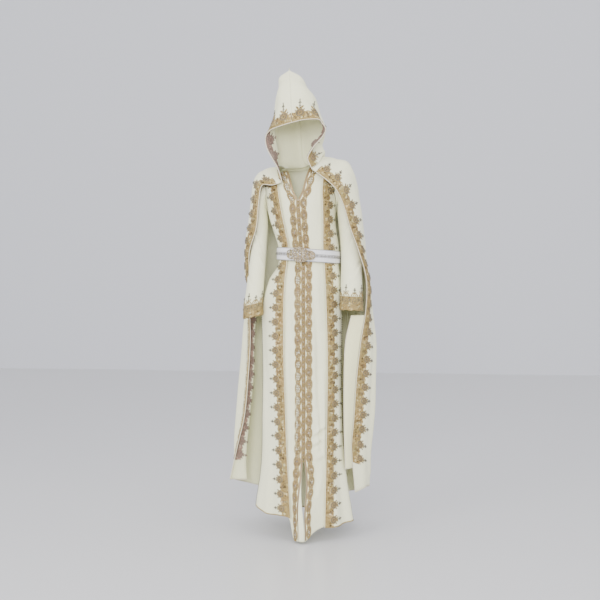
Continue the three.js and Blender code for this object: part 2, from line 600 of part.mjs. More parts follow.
// ---- cape --------------------------------------------------------------------------------------------------
function capePoint(row, share) {
  const col = (name) => read(CAPE_ROWS, "n", row, name);
  const from = col("toR");
  const to = 360 - col("toL");
  const deg = mix(from, to, share);
  const stops = [
    { at: from, r: col("rER"), z: col("zER") },
    { at: Math.max(92, from + 16), r: col("rSR"), z: col("zSR") },
    { at: 138, r: (col("rSR") * 0.5 + col("rB") * 0.5) * 1.03, z: mix(col("zSR"), col("zB"), 0.55) },
    { at: 180, r: col("rB"), z: col("zB") },
    { at: 222, r: (col("rSL") * 0.5 + col("rB") * 0.5) * 1.03, z: mix(col("zSL"), col("zB"), 0.55) },
    { at: Math.min(268, to - 16), r: col("rSL"), z: col("zSL") },
    { at: to, r: col("rEL"), z: col("zEL") },
  ];
  let r = read(stops, "at", deg, "r");
  const z = read(stops, "at", deg, "z");
  FLUTES.forEach((f) => {
    const grow = ease((row - f.from) / (CAPE.length - 1 - f.from));
    r += f.deep * mix(f.early, 1, grow) * ease((row - f.from) / f.rise) * bump((share - f.at) / f.half);
  });
  return new THREE.Vector3(r * Math.sin(rad(deg)), -r * Math.cos(rad(deg)), z);
}
const CAPE_ROWS = CAPE.map((row, n) => ({ n, ...row }));
const CAPE_LEVELS = [0, 0.5, 1, 1.5, 2, 2.5, 3, 4, 5, 6, 7, 8, 9, 10, 11, 12];
function capePanel(name, shares) {
  const lead = [Math.max(0, shares[0] - 0.02), ...shares, Math.min(1, shares[shares.length - 1] + 0.02)];
  const wide = CAPE_LEVELS.map((row) => lead.map((s) => capePoint(row, s)));
  const grid = wide.map((line) => line.slice(1, -1));
  return wall(name, grid, CLOTH, IVORY, { norm: normals(wide, false).map((line) => line.slice(1, -1)) });
}
const spread = (p, q, n) => Array.from({ length: n + 1 }, (_, i) => mix(p, q, i / n));
const capeRight = capePanel("cape_right", [0, 0.07, ...spread(0.12, 0.3295, 7)]);
capePanel("cape_back", spread(0.3305, 0.6695, 14));
const capeLeft = capePanel("cape_left", [...spread(0.6705, 0.9, 8), 0.92, 0.937, 0.957, 0.979, 1]);
const capeEnd = CAPE_LEVELS.length - 1;
const capeBandRows = CAPE_LEVELS.indexOf(12);
trim("cape_band_right", capeRight, 0.3, capeBandRows - 0.7, () => [0.04, 1], BRAID, GOLD, { metal: 0.6, rough: 0.4 });
const capeLeftCols = capeLeft.grid[0].length - 1;
trim("cape_band_left", capeLeft, 0.3, capeEnd - 0.7, () => [capeLeftCols - 2, capeLeftCols - 0.06], BRAID, GOLD, {
  metal: 0.6,
  rough: 0.4,
  lift: 2.2,
});
const facingGrid = FACING.map((k) => {
  const edge = capePoint(read(CAPE_ROWS.slice(6), "zER", k.z, "n"), 0);
  const inner = new THREE.Vector3(k.x, k.y, edge.z);
  const gap = inner.clone().sub(edge).normalize();
  const outer = edge.clone().addScaledVector(gap, SEAM + 2.4);
  return [inner, inner.clone().lerp(outer, 0.5).add(new THREE.Vector3(0, -5, 0)), outer];
});
wall("cape_front_border", facingGrid, CLOTH, IVORY);

// ---- hood --------------------------------------------------------------------------------------------------
const HOOD_TIP_FULL = 20; // roundness of the point
const HOOD_CHEEK_DIP = 26; // how far the right cheek rolls in behind its edge
function hoodHalf(side) {
  const sign = side === "right" ? 1 : -1;
  const edgeX = side === "right" ? "eR" : "eL";
  const edgeZ = side === "right" ? "eZR" : "eZL";
  const sideZ = side === "right" ? "sZR" : "sZL";
  const sideX = side === "right" ? "sR" : "sL";
  const across = 8;
  const rows = HOOD.map((k, n) => ({ n, ...k }));
  const grid = spread(0, HOOD.length - 1, 11).map((n) => {
    const col = (name) => read(rows, "n", n, name);
    const full = ease(n / 2.2);
    const stops = [
      { t: 0, x: col(edgeX), y: col("eY"), z: col(edgeZ) },
      { t: 0.46, x: col(sideX), y: col("sY"), z: col(sideZ) },
      { t: 1, x: col("bX") + sign * 0.25, y: col("bY"), z: col("bZ") },
    ];
    const point = (t) => {
      const p = new THREE.Vector3(...["x", "y", "z"].map((axis) => read(stops, "t", t, axis)));
      p.x += sign * full * 26 * Math.sin(Math.PI * clamp((t - 0.3) / 0.7)) * (t > 0.3 ? 1 : 0);
      p.x += sign * HOOD_TIP_FULL * bump((n - 1) / 1.2) * bump((t - 0.82) / 0.2);
      if (side === "right") p.x -= HOOD_CHEEK_DIP * bump((n - 5.5) / 1.7) * bump((t - 0.24) / 0.22);
      return p;
    };
    const line = spread(0, 1, across).map(point);
    line[0].x += sign * 0.25 * (n === 0 ? 1 : 0);
    return line;
  });
  const neck = spread(0, 0.4988, across).map((t) => capePoint(0, side === "right" ? t : 1 - t));
  grid[grid.length - 1] = neck.map((p) => p.add(new THREE.Vector3(0, 0, SEAM + 0.8)));
  if (side === "left") grid.forEach((line) => line.reverse());
  const norm = normals(grid, false);
  norm[0].forEach((v) => v.setX(0).normalize());
  norm.forEach((line) => line[side === "right" ? across : 0].setX(0).normalize());
  return wall("hood_" + side, grid, CLOTH, IVORY, { norm });
}
const hoodRight = hoodHalf("right");
const hoodLeft = hoodHalf("left");
const hoodTrim = { metal: 0.6, rough: 0.4, lift: 2 };
trim("hood_band_right", hoodRight, 0.15, 10.2, () => [0.06, 1.3], BRAID, GOLD, { ...hoodTrim, lift: 3.5 });
trim("hood_band_left", hoodLeft, 0.15, 10.6, () => [6.7, 7.94], BRAID, GOLD, hoodTrim);

export default parts;
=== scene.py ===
# %% [markdown]
# A takchita in its worn shape: a long buttoned inner dress, an open embroidered gown over it, a belt with an
# oval clasp and a pointed-hood cape of the same ivory crepe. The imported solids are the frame, and each of them is
# replaced here by finer cloth made from the same sections, so that every piece lies where its solid lies.

# %% Load the frame
import math

import bpy
import numpy as np
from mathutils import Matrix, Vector


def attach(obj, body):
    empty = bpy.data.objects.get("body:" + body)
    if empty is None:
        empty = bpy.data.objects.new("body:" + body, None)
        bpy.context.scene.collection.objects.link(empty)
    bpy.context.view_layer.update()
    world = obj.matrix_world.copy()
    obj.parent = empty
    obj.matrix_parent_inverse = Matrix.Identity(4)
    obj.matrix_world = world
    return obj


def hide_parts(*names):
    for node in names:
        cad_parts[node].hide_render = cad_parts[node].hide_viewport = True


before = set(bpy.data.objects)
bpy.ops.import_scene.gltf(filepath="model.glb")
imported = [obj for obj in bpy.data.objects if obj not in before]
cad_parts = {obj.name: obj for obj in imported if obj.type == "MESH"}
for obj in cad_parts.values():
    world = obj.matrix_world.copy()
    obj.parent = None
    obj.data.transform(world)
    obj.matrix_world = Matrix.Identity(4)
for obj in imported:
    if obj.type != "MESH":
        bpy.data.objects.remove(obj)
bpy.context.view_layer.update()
FINE = 1.0  # share of the full number of rows and columns in each cloth grid
HELD_Z = 1440  # the tables give heights above the floor, and the origin is between the shoulders
print("solids", len(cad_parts))

# %% [markdown]
# The garment's sections. Each table has a row per level or fold and a named column per size, in millimetres. A
# maker reads them as the girth of the body at each height, the lines down the front, and the depth of each fold.
# The cloth could also be draped by simulation, but a worn dress is held by its cut, and sections say that exactly.

# %% Sections of the gown's tube
CHEST_Z = 1340  # above this level the cloth turns up to the shoulder
KNEE_Z = 310  # below it the rows close in on the hem
SIDE_SLIT_TOP_Z = 850
V_BOTTOM_Z = 1307
DRESS_INSIDE = 9  # the dress hangs this far inside the gown


def columns(names, rows):
    """A table as a dict of arrays, one per named column."""
    return {name: np.array([row[i] for row in rows], float) for i, name in enumerate(names.split())}


BODY = columns("z cx a f b", [
    (1340, -6, 146, 102, 92), (1290, -5, 136, 108, 92), (1240, -2, 130, 108, 90), (1190, 8, 124, 102, 87),
    (1134, 21, 119, 95, 86), (1098, 22, 119, 95, 86), (1056, 22, 120, 95, 87), (1000, 8, 142, 104, 106),
    (900, -4, 157, 109, 117), (780, -4, 157, 111, 117), (640, -4, 156, 112, 116), (500, -3, 156, 114, 118),
    (360, -1, 159, 119, 124), (230, 1, 168, 127, 134), (120, 3, 184, 137, 148), (40, 8, 190, 144, 154),
])
FRONT = columns("z left placket right", [
    (1480, -100, -8, 96), (1350, -86, -7, 86), (1280, -74, -5, 88), (1190, -57, 0, 89), (1130, -47, 4, 89),
    (1065, -54, 13, 94), (920, -61, 15, 101), (720, -61, 16, 106), (500, -54, 17, 105), (320, -46, 17, 103),
    (110, -31, 26, 102), (0, -26, 35, 102),
])
FOLDS = columns("at deep half top", [
    (-66, 9, 16, 900), (-38, -7, 13, 700), (62, -8, 13, 560), (78, 10, 14, 800), (112, -12, 16, 880),
    (136, 12, 15, 960), (160, -12, 14, 980), (182, 13, 15, 1000), (205, -12, 14, 980), (228, 12, 15, 940),
    (250, -10, 15, 880),
])
HEM = columns("at gown dress", [
    (-180, 62, 70), (-110, 100, 112), (-75, 118, 130), (-45, 94, 106), (-26, 96, 106), (-13, 92, 84),
    (-8, 84, 18), (0, 72, 12), (8, 62, 12), (20, 58, 44), (42, 52, 62), (75, 62, 74), (110, 62, 72),
    (180, 62, 70),
])
SHOULDER = {
    "left": {"neckX": -66, "neckZ": 1444, "endX": -158, "endZ": 1396},
    "right": {"neckX": 52, "neckZ": 1472, "endX": 148, "endZ": 1444},
}
print("levels of the body", len(BODY["z"]), "folds", len(FOLDS["at"]))

# %% [markdown]
# The other pieces have sections of their own. A sleeve is a row of tilted rings from shoulder to cuff. The cape and
# the hood are read row by row at a few places round the body: R and L are the wearer's right and left, E a front
# edge, S a side, B the back; r is how far out, z how high, and toR and toL are the angles at which the front edges
# stand. The flutes are long pleat-like waves of the cape, set by their share of the way round.

# %% Sections of sleeves, cape and hood
SLEEVES = {
    "right": columns("x y z rx ry tilt", [
        (165, 2, 1350, 54, 44, 60), (173, 2, 1290, 41, 42, 26), (180, 3, 1230, 40, 40, 8), (187, 2, 1150, 39, 40, 4),
        (192, -8, 1080, 40, 42, 4), (195, -26, 1010, 42, 44, 2), (196, -48, 935.6, 43, 44.7, -2.7),
    ]),
    "left": columns("x y z rx ry tilt", [
        (-170, 2, 1322, 46, 42, 58), (-172, 2, 1272, 33, 38, 28), (-172, 2, 1220, 31, 36, 8),
        (-175, 1, 1150, 30, 35, 2), (-179, -8, 1080, 31, 35, 2), (-184, -26, 1000, 33, 36, 2),
        (-190, -52, 903.6, 37.9, 38.5, -12.5),
    ]),
}
CUFFS = {
    "right": {"x": 196, "y": -48, "top": 935, "bottom": 880, "rTop": 43, "rBottom": 45, "drop": -2},
    "left": {"x": -190, "y": -52, "top": 903, "bottom": 852, "rTop": 37, "rBottom": 39, "drop": 8},
}
CAPE = columns("toR toL rER zER rSR zSR rB zB rSL zSL rEL zEL", [
    (29, 36, 92, 1430, 78, 1486, 100, 1452, 98, 1449, 118, 1378),
    (46, 48, 132, 1392, 128, 1478, 122, 1428, 150, 1439, 142, 1367),
    (56, 63, 170, 1348, 188, 1452, 146, 1385, 194, 1404, 170, 1366),
    (60, 68, 196, 1288, 224, 1330, 160, 1300, 211, 1318, 178, 1306),
    (65, 72, 215, 1202, 243, 1200, 172, 1180, 226, 1200, 187, 1200),
    (71, 84, 240, 1110, 250, 1090, 184, 1050, 240, 1100, 213, 1105),
    (80, 91, 258, 1000, 268, 980, 196, 920, 262, 990, 215, 1000),
    (83, 96, 252, 880, 274, 860, 206, 800, 288, 870, 220, 880),
    (82, 98, 234, 760, 279, 740, 214, 670, 306, 740, 220, 760),
    (84, 98, 216, 620, 279, 600, 222, 520, 312, 600, 228, 620),
    (84, 96, 204, 450, 270, 440, 232, 360, 322, 440, 241, 460),
    (84, 93, 196, 340, 260, 300, 240, 220, 322, 310, 266, 340),
    (84, 90, 210, 172, 254, 185, 248, 92, 312, 190, 294, 205),
])
CAPE_ROWS = len(CAPE["toR"])
FLUTES = columns("at deep half start early rise", [
    (0.13, 10, 0.06, 5, 0.35, 3), (0.22, -16, 0.07, 3, 0.35, 3), (0.32, 18, 0.065, 3, 0.35, 3),
    (0.42, -18, 0.06, 2, 0.35, 3), (0.51, 20, 0.06, 3, 0.35, 3), (0.6, -18, 0.06, 2, 0.35, 3),
    (0.69, 18, 0.065, 3, 0.35, 3), (0.77, -14, 0.06, 4, 0.35, 3), (0.865, 20, 0.05, 6, 0.6, 2),
    (0.935, -70, 0.055, 5.6, 1, 1.6),
])
FACING = columns("z x y", [
    (862, 196, -44), (760, 174, -48), (620, 168, -50), (450, 168, -52), (340, 171, -54), (268, 174, -56),
])
HOOD = columns("eL eR eY eZL eZR sL sR sY sZL sZR bX bY bZ", [
    (-29, -27, -112, 1605, 1605, -43, -41, -62, 1752, 1752, -56, 4, 1824),
    (-74, 16, -106, 1593, 1615, -78, 4, -52, 1738, 1738, -57, 24, 1817),
    (-110, 70, -88, 1584, 1619, -90, 34, -26, 1706, 1706, -44, 62, 1768),
    (-131, 86, -76, 1569, 1605, -99, 50, -4, 1655, 1655, -34, 92, 1704),
    (-138, 99, -74, 1546, 1580, -94, 70, 8, 1600, 1604, -28, 108, 1645),
    (-131, 85, -78, 1512, 1550, -88, 68, 14, 1550, 1562, -24, 112, 1585),
    (-112, 52, -83, 1476, 1512, -84, 58, 14, 1512, 1532, -20, 108, 1530),
    (-88, 30, -86, 1434, 1470, -90, 66, 12, 1474, 1508, -14, 102, 1488),
    (-68, 44, -88, 1382, 1435, -99, 78, 6, 1446, 1492, -4, 100, 1458),
])
print("cape rows", CAPE_ROWS, "flutes", len(FLUTES["at"]))

# %% [markdown]
# Between two rows of a table the cloth runs on a smooth curve. A cubic through the rows gives that, with the slope
# at each row taken from its two neighbours, so no level shows as a kink.

# %% Helpers for smooth sections
def read(keys, values, t):
    """Smooth reading of values at t, where keys rise or fall."""
    keys, values, t = np.asarray(keys, float), np.asarray(values, float), np.asarray(t, float)
    if keys[1] < keys[0]:
        keys, values = keys[::-1], values[::-1]
    i = np.clip(np.searchsorted(keys, t, side="right") - 1, 0, len(keys) - 2)
    span = keys[i + 1] - keys[i]
    s = np.clip((t - keys[i]) / span, 0, 1)
    lo, hi = np.maximum(np.arange(len(keys)) - 1, 0), np.minimum(np.arange(len(keys)) + 1, len(keys) - 1)
    slope = (values[hi] - values[lo]) / (keys[hi] - keys[lo])
    h01 = s * s * (3 - 2 * s)
    return ((1 - h01) * values[i] + h01 * values[i + 1]
            + span * (s * (1 - s) ** 2 * slope[i] + s * s * (s - 1) * slope[i + 1]))


def ease(t):
    t = np.clip(t, 0, 1)
    return t * t * (3 - 2 * t)


def bump(t):
    return np.where(np.abs(t) < 1, np.cos(np.clip(t, -1, 1) * math.pi / 2) ** 2, 0.0)


def mix(p, q, t):
    return p + (q - p) * t


def turn(deg):
    return (np.asarray(deg, float) + 180) % 360 - 180


print("girth half at the waist", float(read(BODY["z"], BODY["a"], 1098)), "mm")

# %% [markdown]
# Gown and dress share one tube. Angle 0 is the middle of the front, and positive angles go round by the wearer's
# left. The skirt's folds are added to the girth, so they widen evenly down to the hem, as gathered cloth does.

# %% The body's tube
KICK = {"from": 300, "over": 290, "out": 46, "middle": 14, "right": 50, "left": 92}  # the corners at the toe


def skirt_fold(deg, z):
    """How far the skirt's soft folds stand out at an angle and a height."""
    total = np.zeros(np.broadcast(deg, z).shape)
    for at, deep, half, top in zip(*(FOLDS[k] for k in ("at", "deep", "half", "top"))):
        total = total + deep * ease((top - z) / (top - 60)) * bump(turn(deg - at) / half)
    return total


def tube(deg, z, inside):
    """Points of the gown's tube, or of a layer that hangs inside it."""
    deg, z = np.broadcast_arrays(np.asarray(deg, float), np.asarray(z, float))
    s, c = np.sin(np.radians(deg)), np.cos(np.radians(deg))
    grow = skirt_fold(deg, z) - inside
    depth = np.where(c > 0, read(BODY["z"], BODY["f"], z), read(BODY["z"], BODY["b"], z))
    x = read(BODY["z"], BODY["cx"], z) + (read(BODY["z"], BODY["a"], z) + grow) * s
    return np.stack([x, -(depth + grow) * c, z], -1)


def hem_at(deg, layer):
    return read(HEM["at"], HEM[layer], turn(deg))


def angle_of(x, z, inside):
    return np.degrees(np.arcsin((x - read(BODY["z"], BODY["cx"], z)) / (read(BODY["z"], BODY["a"], z) - inside)))


def kick(p, layer):
    """The dress's front corners stand forward at the floor."""
    if layer != "dress":
        return p
    x, z = p[..., 0], p[..., 2]
    half = np.where(x < KICK["middle"], KICK["right"], KICK["left"])
    p[..., 1] -= KICK["out"] * ease((KICK["from"] - z) / KICK["over"]) * bump((x - KICK["middle"]) / half)
    return p


# %% [markdown]
# A front panel runs from the shoulder seam down the chest to the hem. Its free edge follows a named line, and the
# other edge is the side seam. The part over the collar bone turns up to the shoulder on a quarter of an ellipse.

# %% Front and back panels as grids of points
ARMHOLE = columns("z end", [(CHEST_Z, 66), (1307, 80), (1290, 90), (1200, 90)])  # where a front ends, in degrees
SLIT_TURN = 15  # degrees


def levels(count):
    """Heights from the chest to the knee, and then shares of the way down to the hem."""
    upper = [("z", v) for v in np.linspace(CHEST_Z, KNEE_Z, count)[:-1]]
    return upper + [("low", v) for v in np.linspace(1, 0, count // 4)]


def seam_row(side, xs, inside, y):
    s = SHOULDER[side]
    z = mix(s["neckZ"], s["endZ"], (xs - s["neckX"]) / (s["endX"] - s["neckX"])) - inside * 1.25
    return np.stack([xs, np.full_like(xs, y), z], -1)


def turn_up(seam, chest, count):
    """Rows between the shoulder seam and the chest, without the chest itself."""
    rows = []
    for t in np.linspace(0, 1, count, endpoint=False):
        s, c = math.sin(t * math.pi / 2), math.cos(t * math.pi / 2)
        x, y, z = mix(seam[:, 0], chest[:, 0], t), mix(seam[:, 1], chest[:, 1], s), mix(chest[:, 2], seam[:, 2], c)
        rows.append(np.stack([x, y, z], -1))
    return rows


def slit_turn(side, layer, z):
    """The gown's left side slit lies further to the front than its seam."""
    return SLIT_TURN * float(ease((SIDE_SLIT_TOP_Z - z) / 450)) if side == "left" and layer == "gown" else 0.0


def slit_open(layer, z, wide):
    """The gap beside a side seam, in degrees: open below the slit's top on the gown, a bare seam elsewhere."""
    return wide if layer == "gown" and z < SIDE_SLIT_TOP_Z else 0.1


def front_panel(side, edge, layer, inside, cols, rows):
    sign = 1 if side == "right" else -1
    share = np.linspace(0, 1, cols)

    def ring(kind, v):
        z = v if kind == "z" else mix(hem_at(sign * 45, layer), KNEE_Z, v)
        end = np.interp(-z, -ARMHOLE["z"], ARMHOLE["end"]) - slit_open(layer, z, 1.5)
        end -= slit_turn(side, layer, z)
        deg = mix(float(angle_of(edge(z), z, inside)) * sign, end, share) * sign
        level = np.full_like(deg, z) if kind == "z" else mix(hem_at(deg, layer), KNEE_Z, v)
        return kick(tube(deg, level, inside), layer)

    chest = ring("z", CHEST_Z)
    far = SHOULDER[side]["endX"]
    seam = seam_row(side, mix(edge(1480), far, share), inside, 4)
    grid = np.array(turn_up(seam, chest, rows // 8) + [ring(*level) for level in levels(rows)])
    return grid if side == "right" else grid[:, ::-1]


def back_panel(layer, inside, cols, rows):
    def ring(kind, v):
        z = v if kind == "z" else 200
        start = 180 - np.interp(-z, -ARMHOLE["z"], ARMHOLE["end"]) + slit_open(layer, z, 2.3)
        deg = np.linspace(start, 360 - start + slit_turn("left", layer, z), cols)
        return tube(deg, np.full_like(deg, z) if kind == "z" else mix(hem_at(deg, layer), KNEE_Z, v), inside)

    chest = ring("z", CHEST_Z)
    right, left = SHOULDER["right"], SHOULDER["left"]
    xs = np.linspace(right["endX"], left["endX"], cols)
    t = np.clip((xs - left["neckX"]) / (right["neckX"] - left["neckX"]), 0, 1)
    arch = np.sin(math.pi * t)
    neck = np.stack([xs, 4.4 + 44 * arch, mix(left["neckZ"], right["neckZ"], t) - 8 * arch - inside * 1.25], -1)
    seam = np.where((xs > right["neckX"])[:, None], seam_row("right", xs, inside, 4.4), neck)
    seam = np.where((xs < left["neckX"])[:, None], seam_row("left", xs, inside, 4.4), seam)
    return np.array(turn_up(seam, chest, rows // 8) + [ring(*level) for level in levels(rows)])


def dress_edge(sign):
    """The V of the neck, the closed button line, then the slit at the foot."""
    def line(z):
        middle = float(read(FRONT["z"], FRONT["placket"], min(z, CHEST_Z)))
        if z >= 1400:
            return SHOULDER["right" if sign > 0 else "left"]["neckX"]
        v = 17 * min(1, max(0, (z - V_BOTTOM_Z) / (CHEST_Z - V_BOTTOM_Z)))
        slit = 9 * float(bump((z - 235) / 110))
        return middle + sign * (0.2 + v + slit)
    return line


def gown_edge(col):
    return lambda z: float(read(FRONT["z"], FRONT[col], z))


print("front armhole levels", ARMHOLE["z"].astype(int).tolist())

# %% [markdown]
# The cape and the hood are grids too. The hood's lowest row bends into the cape's first one, because on the garment
# the two are seamed together there and the join shows no step.

# %% The cape and the hood as grids
HOOD_STOPS = [0, 0.46, 1]  # face edge, widest side, back seam
HOOD_FULL = 26  # how far the back of each half swells
HOOD_TIP_FULL = 20  # the same close under the point
HOOD_CHEEK_DIP = 26  # hollow beside the right cheek
HALF_ROUND = 0.4988  # share of the cape's neck under one half of the hood


def cape_points(row, share):
    """One row of the cape, from the right front edge round the back to the left one."""
    n = np.arange(CAPE_ROWS)
    v = {k: float(read(n, CAPE[k], row)) for k in CAPE}
    start, end = v["toR"], 360 - v["toL"]
    deg = mix(start, end, share)
    at = [start, max(92, start + 16), 138, 180, 222, min(268, end - 16), end]
    r = [v["rER"], v["rSR"], (v["rSR"] + v["rB"]) * 0.515, v["rB"], (v["rSL"] + v["rB"]) * 0.515, v["rSL"], v["rEL"]]
    z = [v["zER"], v["zSR"], mix(v["zSR"], v["zB"], 0.55), v["zB"], mix(v["zSL"], v["zB"], 0.55), v["zSL"], v["zEL"]]
    radius, height = read(at, r, deg), read(at, z, deg)
    for place, deep, half, first, early, rise in zip(*(FLUTES[k] for k in FLUTES)):
        grow = float(ease((row - first) / (CAPE_ROWS - 1 - first)))
        opened = float(ease((row - first) / rise))
        radius = radius + deep * mix(early, 1, grow) * opened * bump((share - place) / half)
    return np.stack([radius * np.sin(np.radians(deg)), -radius * np.cos(np.radians(deg)), height], -1)


def cape_grid(first, last, cols, rows):
    share = np.linspace(first, last, cols)
    return np.array([cape_points(row, share) for row in np.linspace(0, CAPE_ROWS - 1, rows)])


def hood_grid(side, cols, rows):
    sign = 1 if side == "right" else -1
    k = "R" if side == "right" else "L"
    n = np.arange(len(HOOD["eL"]))
    t = np.linspace(0, 1, cols)
    grid = []
    for row in np.linspace(0, len(n) - 1, rows):
        v = {name: float(read(n, HOOD[name], row)) for name in HOOD}
        x = read(HOOD_STOPS, [v["e" + k], v["s" + k], v["bX"] + sign * 0.05], t)
        y = read(HOOD_STOPS, [v["eY"], v["sY"], v["bY"]], t)
        z = read(HOOD_STOPS, [v["eZ" + k], v["sZ" + k], v["bZ"]], t)
        full = float(ease(row / 2.2))
        x = x + np.where(t > 0.3, sign * full * HOOD_FULL * np.sin(math.pi * np.clip((t - 0.3) / 0.7, 0, 1)), 0)
        x = x + sign * HOOD_TIP_FULL * bump((row - 1) / 1.2) * bump((t - 0.82) / 0.2)
        if side == "right":
            x = x - HOOD_CHEEK_DIP * bump((row - 5.5) / 1.7) * bump((t - 0.24) / 0.22)
        line = np.stack([x, y, z], -1)
        share = t * HALF_ROUND if side == "right" else 1 - t * HALF_ROUND
        neck = cape_points(0, share) + np.array([0, 0, 1.2])
        near = float(ease((row - (len(n) - 2)) / 1.0))
        grid.append(mix(line, neck, near))
    grid = np.array(grid)
    return grid if side == "right" else grid[:, ::-1]


print("cape hem, right front corner", np.round(cape_points(CAPE_ROWS - 1, np.array([0.0]))[0]))

# %% [markdown]
# A sleeve starts on the armhole, which is the loop of the front's and the back's own ends, so the seam closes exactly.
# From there it passes through the sleeve's rings, and each cuff is a short stiff ring round its end.

# %% Sleeves and cuffs as grids
def spline(rings, row):
    """A ring between the given ones, point by point, on a smooth curve."""
    i = int(min(row, len(rings) - 2))
    s = row - i
    lo, hi = max(i - 1, 0), min(i + 2, len(rings) - 1)
    before = (rings[i + 1] - rings[lo]) / (i + 1 - lo)
    after = (rings[hi] - rings[i]) / (hi - i)
    part = s * s * (3 - 2 * s)
    return (1 - part) * rings[i] + part * rings[i + 1] + s * (1 - s) ** 2 * before + s * s * (s - 1) * after


def armhole(side, fronts, back, count):
    """The loop from the underarm up the front's end, over the shoulder and down the back's end."""
    front = fronts[side][:, -1 if side == "right" else 0]
    rear = back[:, 0 if side == "right" else -1]
    top, step = ROWS // 8, (ROWS - 1) / (CHEST_Z - KNEE_Z)
    marks = [0, 0.34 * top, 0.67 * top, top, top + 33 * step, top + 78 * step]

    def at(column, r):
        row = np.interp(r, np.arange(6), marks)
        return np.stack([np.interp(row, np.arange(len(column)), column[:, k]) for k in range(3)], -1)

    c = np.linspace(0, 20, count)
    loop = np.where((c <= 10)[:, None], at(front, 5 - c / 2), at(rear, (c - 10) / 2))
    loop = loop + (loop - loop[:-1].mean(0)) * 0.02
    return loop + np.array([2.2 if side == "right" else -2.2, 0, 0])


def sleeve_grid(side, hole, rows):
    """A closed tube from the armhole to the cuff; the last column repeats the first."""
    table, sign = SLEEVES[side], 1 if side == "right" else -1
    a = np.radians(270 + np.linspace(0, 360, len(hole)))
    rings = [hole]
    for x, y, z, rx, ry, tilt in zip(*(table[k] for k in ("x", "y", "z", "rx", "ry", "tilt"))):
        out = np.array([sign * math.cos(math.radians(tilt)), 0, math.sin(math.radians(tilt))])
        depth = np.stack([0 * a, -ry * np.cos(a), 0 * a], -1)
        rings.append(np.array([x, y, z]) + depth + rx * np.sin(a)[:, None] * out)
    grid = np.array([spline(rings, row) for row in np.linspace(0, len(rings) - 1, rows)])
    return grid if side == "right" else grid[:, ::-1]


def cuff_grid(side, rows, count=64):
    k = CUFFS[side]
    a = np.linspace(0, 2 * math.pi, count)
    grid = []
    for t in np.linspace(0, 1, rows):
        r = mix(k["rTop"], k["rBottom"], t)
        z = mix(k["top"], k["bottom"], t) + k["drop"] * np.sin(a)
        grid.append(np.stack([k["x"] + r * np.sin(a), k["y"] - r * 1.04 * np.cos(a), z], -1))
    return np.array(grid)


print("cuff heights", [k["top"] - k["bottom"] for k in CUFFS.values()], "mm")


# %% [markdown]
# Crepe never hangs perfectly smooth. Each panel gets its own main creases: a soft trough or ridge along a short
# line, with its own width and depth, and under them a very low uneven swell. They are set in the panel's own measure,
# in millimetres across from its first edge and down from its top, as a tailor would mark them.

# %% Normals, arc lengths and creases
def normals(grid):
    down, across = np.gradient(grid, axis=0), np.gradient(grid, axis=1)
    n = np.cross(down, across)
    return n / (np.linalg.norm(n, axis=-1, keepdims=True) + 1e-9)


def run(grid, axis):
    """Arc length along the grid from its first row or column."""
    step = np.linalg.norm(np.diff(grid, axis=axis), axis=-1)
    pad = [(1, 0), (0, 0)] if axis == 0 else [(0, 0), (1, 0)]
    return np.pad(np.cumsum(step, axis=axis), pad)


CREASE_GAIN = 1.5  # all hand-set creases are deepened alike


def creased(grid, creases=(), swell=0.5, seed=0, keep=None):
    """The grid with soft troughs (negative depth) and ridges along lines from (u0, v0) to (u1, v1)."""
    u, v = run(grid, 1), run(grid, 0)
    rise = np.zeros(u.shape)
    for u0, v0, u1, v1, wide, deep in creases:
        d = np.array([u1 - u0, v1 - v0], float)
        t = np.clip(((u - u0) * d[0] + (v - v0) * d[1]) / (d @ d), 0, 1)
        off = np.hypot(u - u0 - t * d[0], v - v0 - t * d[1])
        fade = 0.35 + 0.65 * np.sin(math.pi * np.clip(t, 0.02, 0.98))
        rise += CREASE_GAIN * deep * np.exp(-(off / wide) ** 2) * fade
    draw = np.random.default_rng(seed)
    for _ in range(7):
        fu, fv, ph = draw.uniform(0.006, 0.03), draw.uniform(0.002, 0.012), draw.uniform(0, 6.3)
        rise += swell * 0.5 * np.sin(u * fu * 2 + v * fv * 2 + ph)
    if keep is not None:
        rise = rise * keep(u, v)
    return grid + normals(grid) * rise[..., None]


# %% [markdown]
# Materials. The crepe is a fine crossed weave with a dry, soft sheen: two crossed waves give the threads, and low
# noise gives the uneven dye and the slight grey of the shaded side. All patterns run on the cloth's own UV, laid out
# in metres along and across the piece, so the threads follow the cut and not the room.

# %% Material helpers
def new_material(name):
    m = bpy.data.materials.new(name)
    m.use_nodes = True
    return m, m.node_tree.nodes, m.node_tree.links, m.node_tree.nodes["Principled BSDF"]


def put(nodes, links, kind, inputs=None, **settings):
    """A node with its settings, and its inputs set to a value or joined to a socket."""
    n = nodes.new(kind)
    for key, value in settings.items():
        setattr(n, key, value)
    for key, value in (inputs or {}).items():
        if isinstance(value, bpy.types.NodeSocket):
            links.new(value, n.inputs[key])
        else:
            n.inputs[key].default_value = value
    return n


def ramp(nodes, links, factor, stops):
    r = nodes.new("ShaderNodeValToRGB")
    links.new(factor, r.inputs["Fac"])
    while len(r.color_ramp.elements) < len(stops):
        r.color_ramp.elements.new(0.5)
    for element, (place, colour) in zip(r.color_ramp.elements, stops):
        element.position = place
        element.color = (*colour, 1)
    return r.outputs["Color"]


def scaled_uv(nodes, links, sx, sy, turned=0.0):
    uv = put(nodes, links, "ShaderNodeTexCoord").outputs["UV"]
    m = put(nodes, links, "ShaderNodeMapping", {"Vector": uv})
    m.inputs["Scale"].default_value = (sx, sy, 1)
    m.inputs["Rotation"].default_value = (0, 0, turned)
    return m.outputs["Vector"]


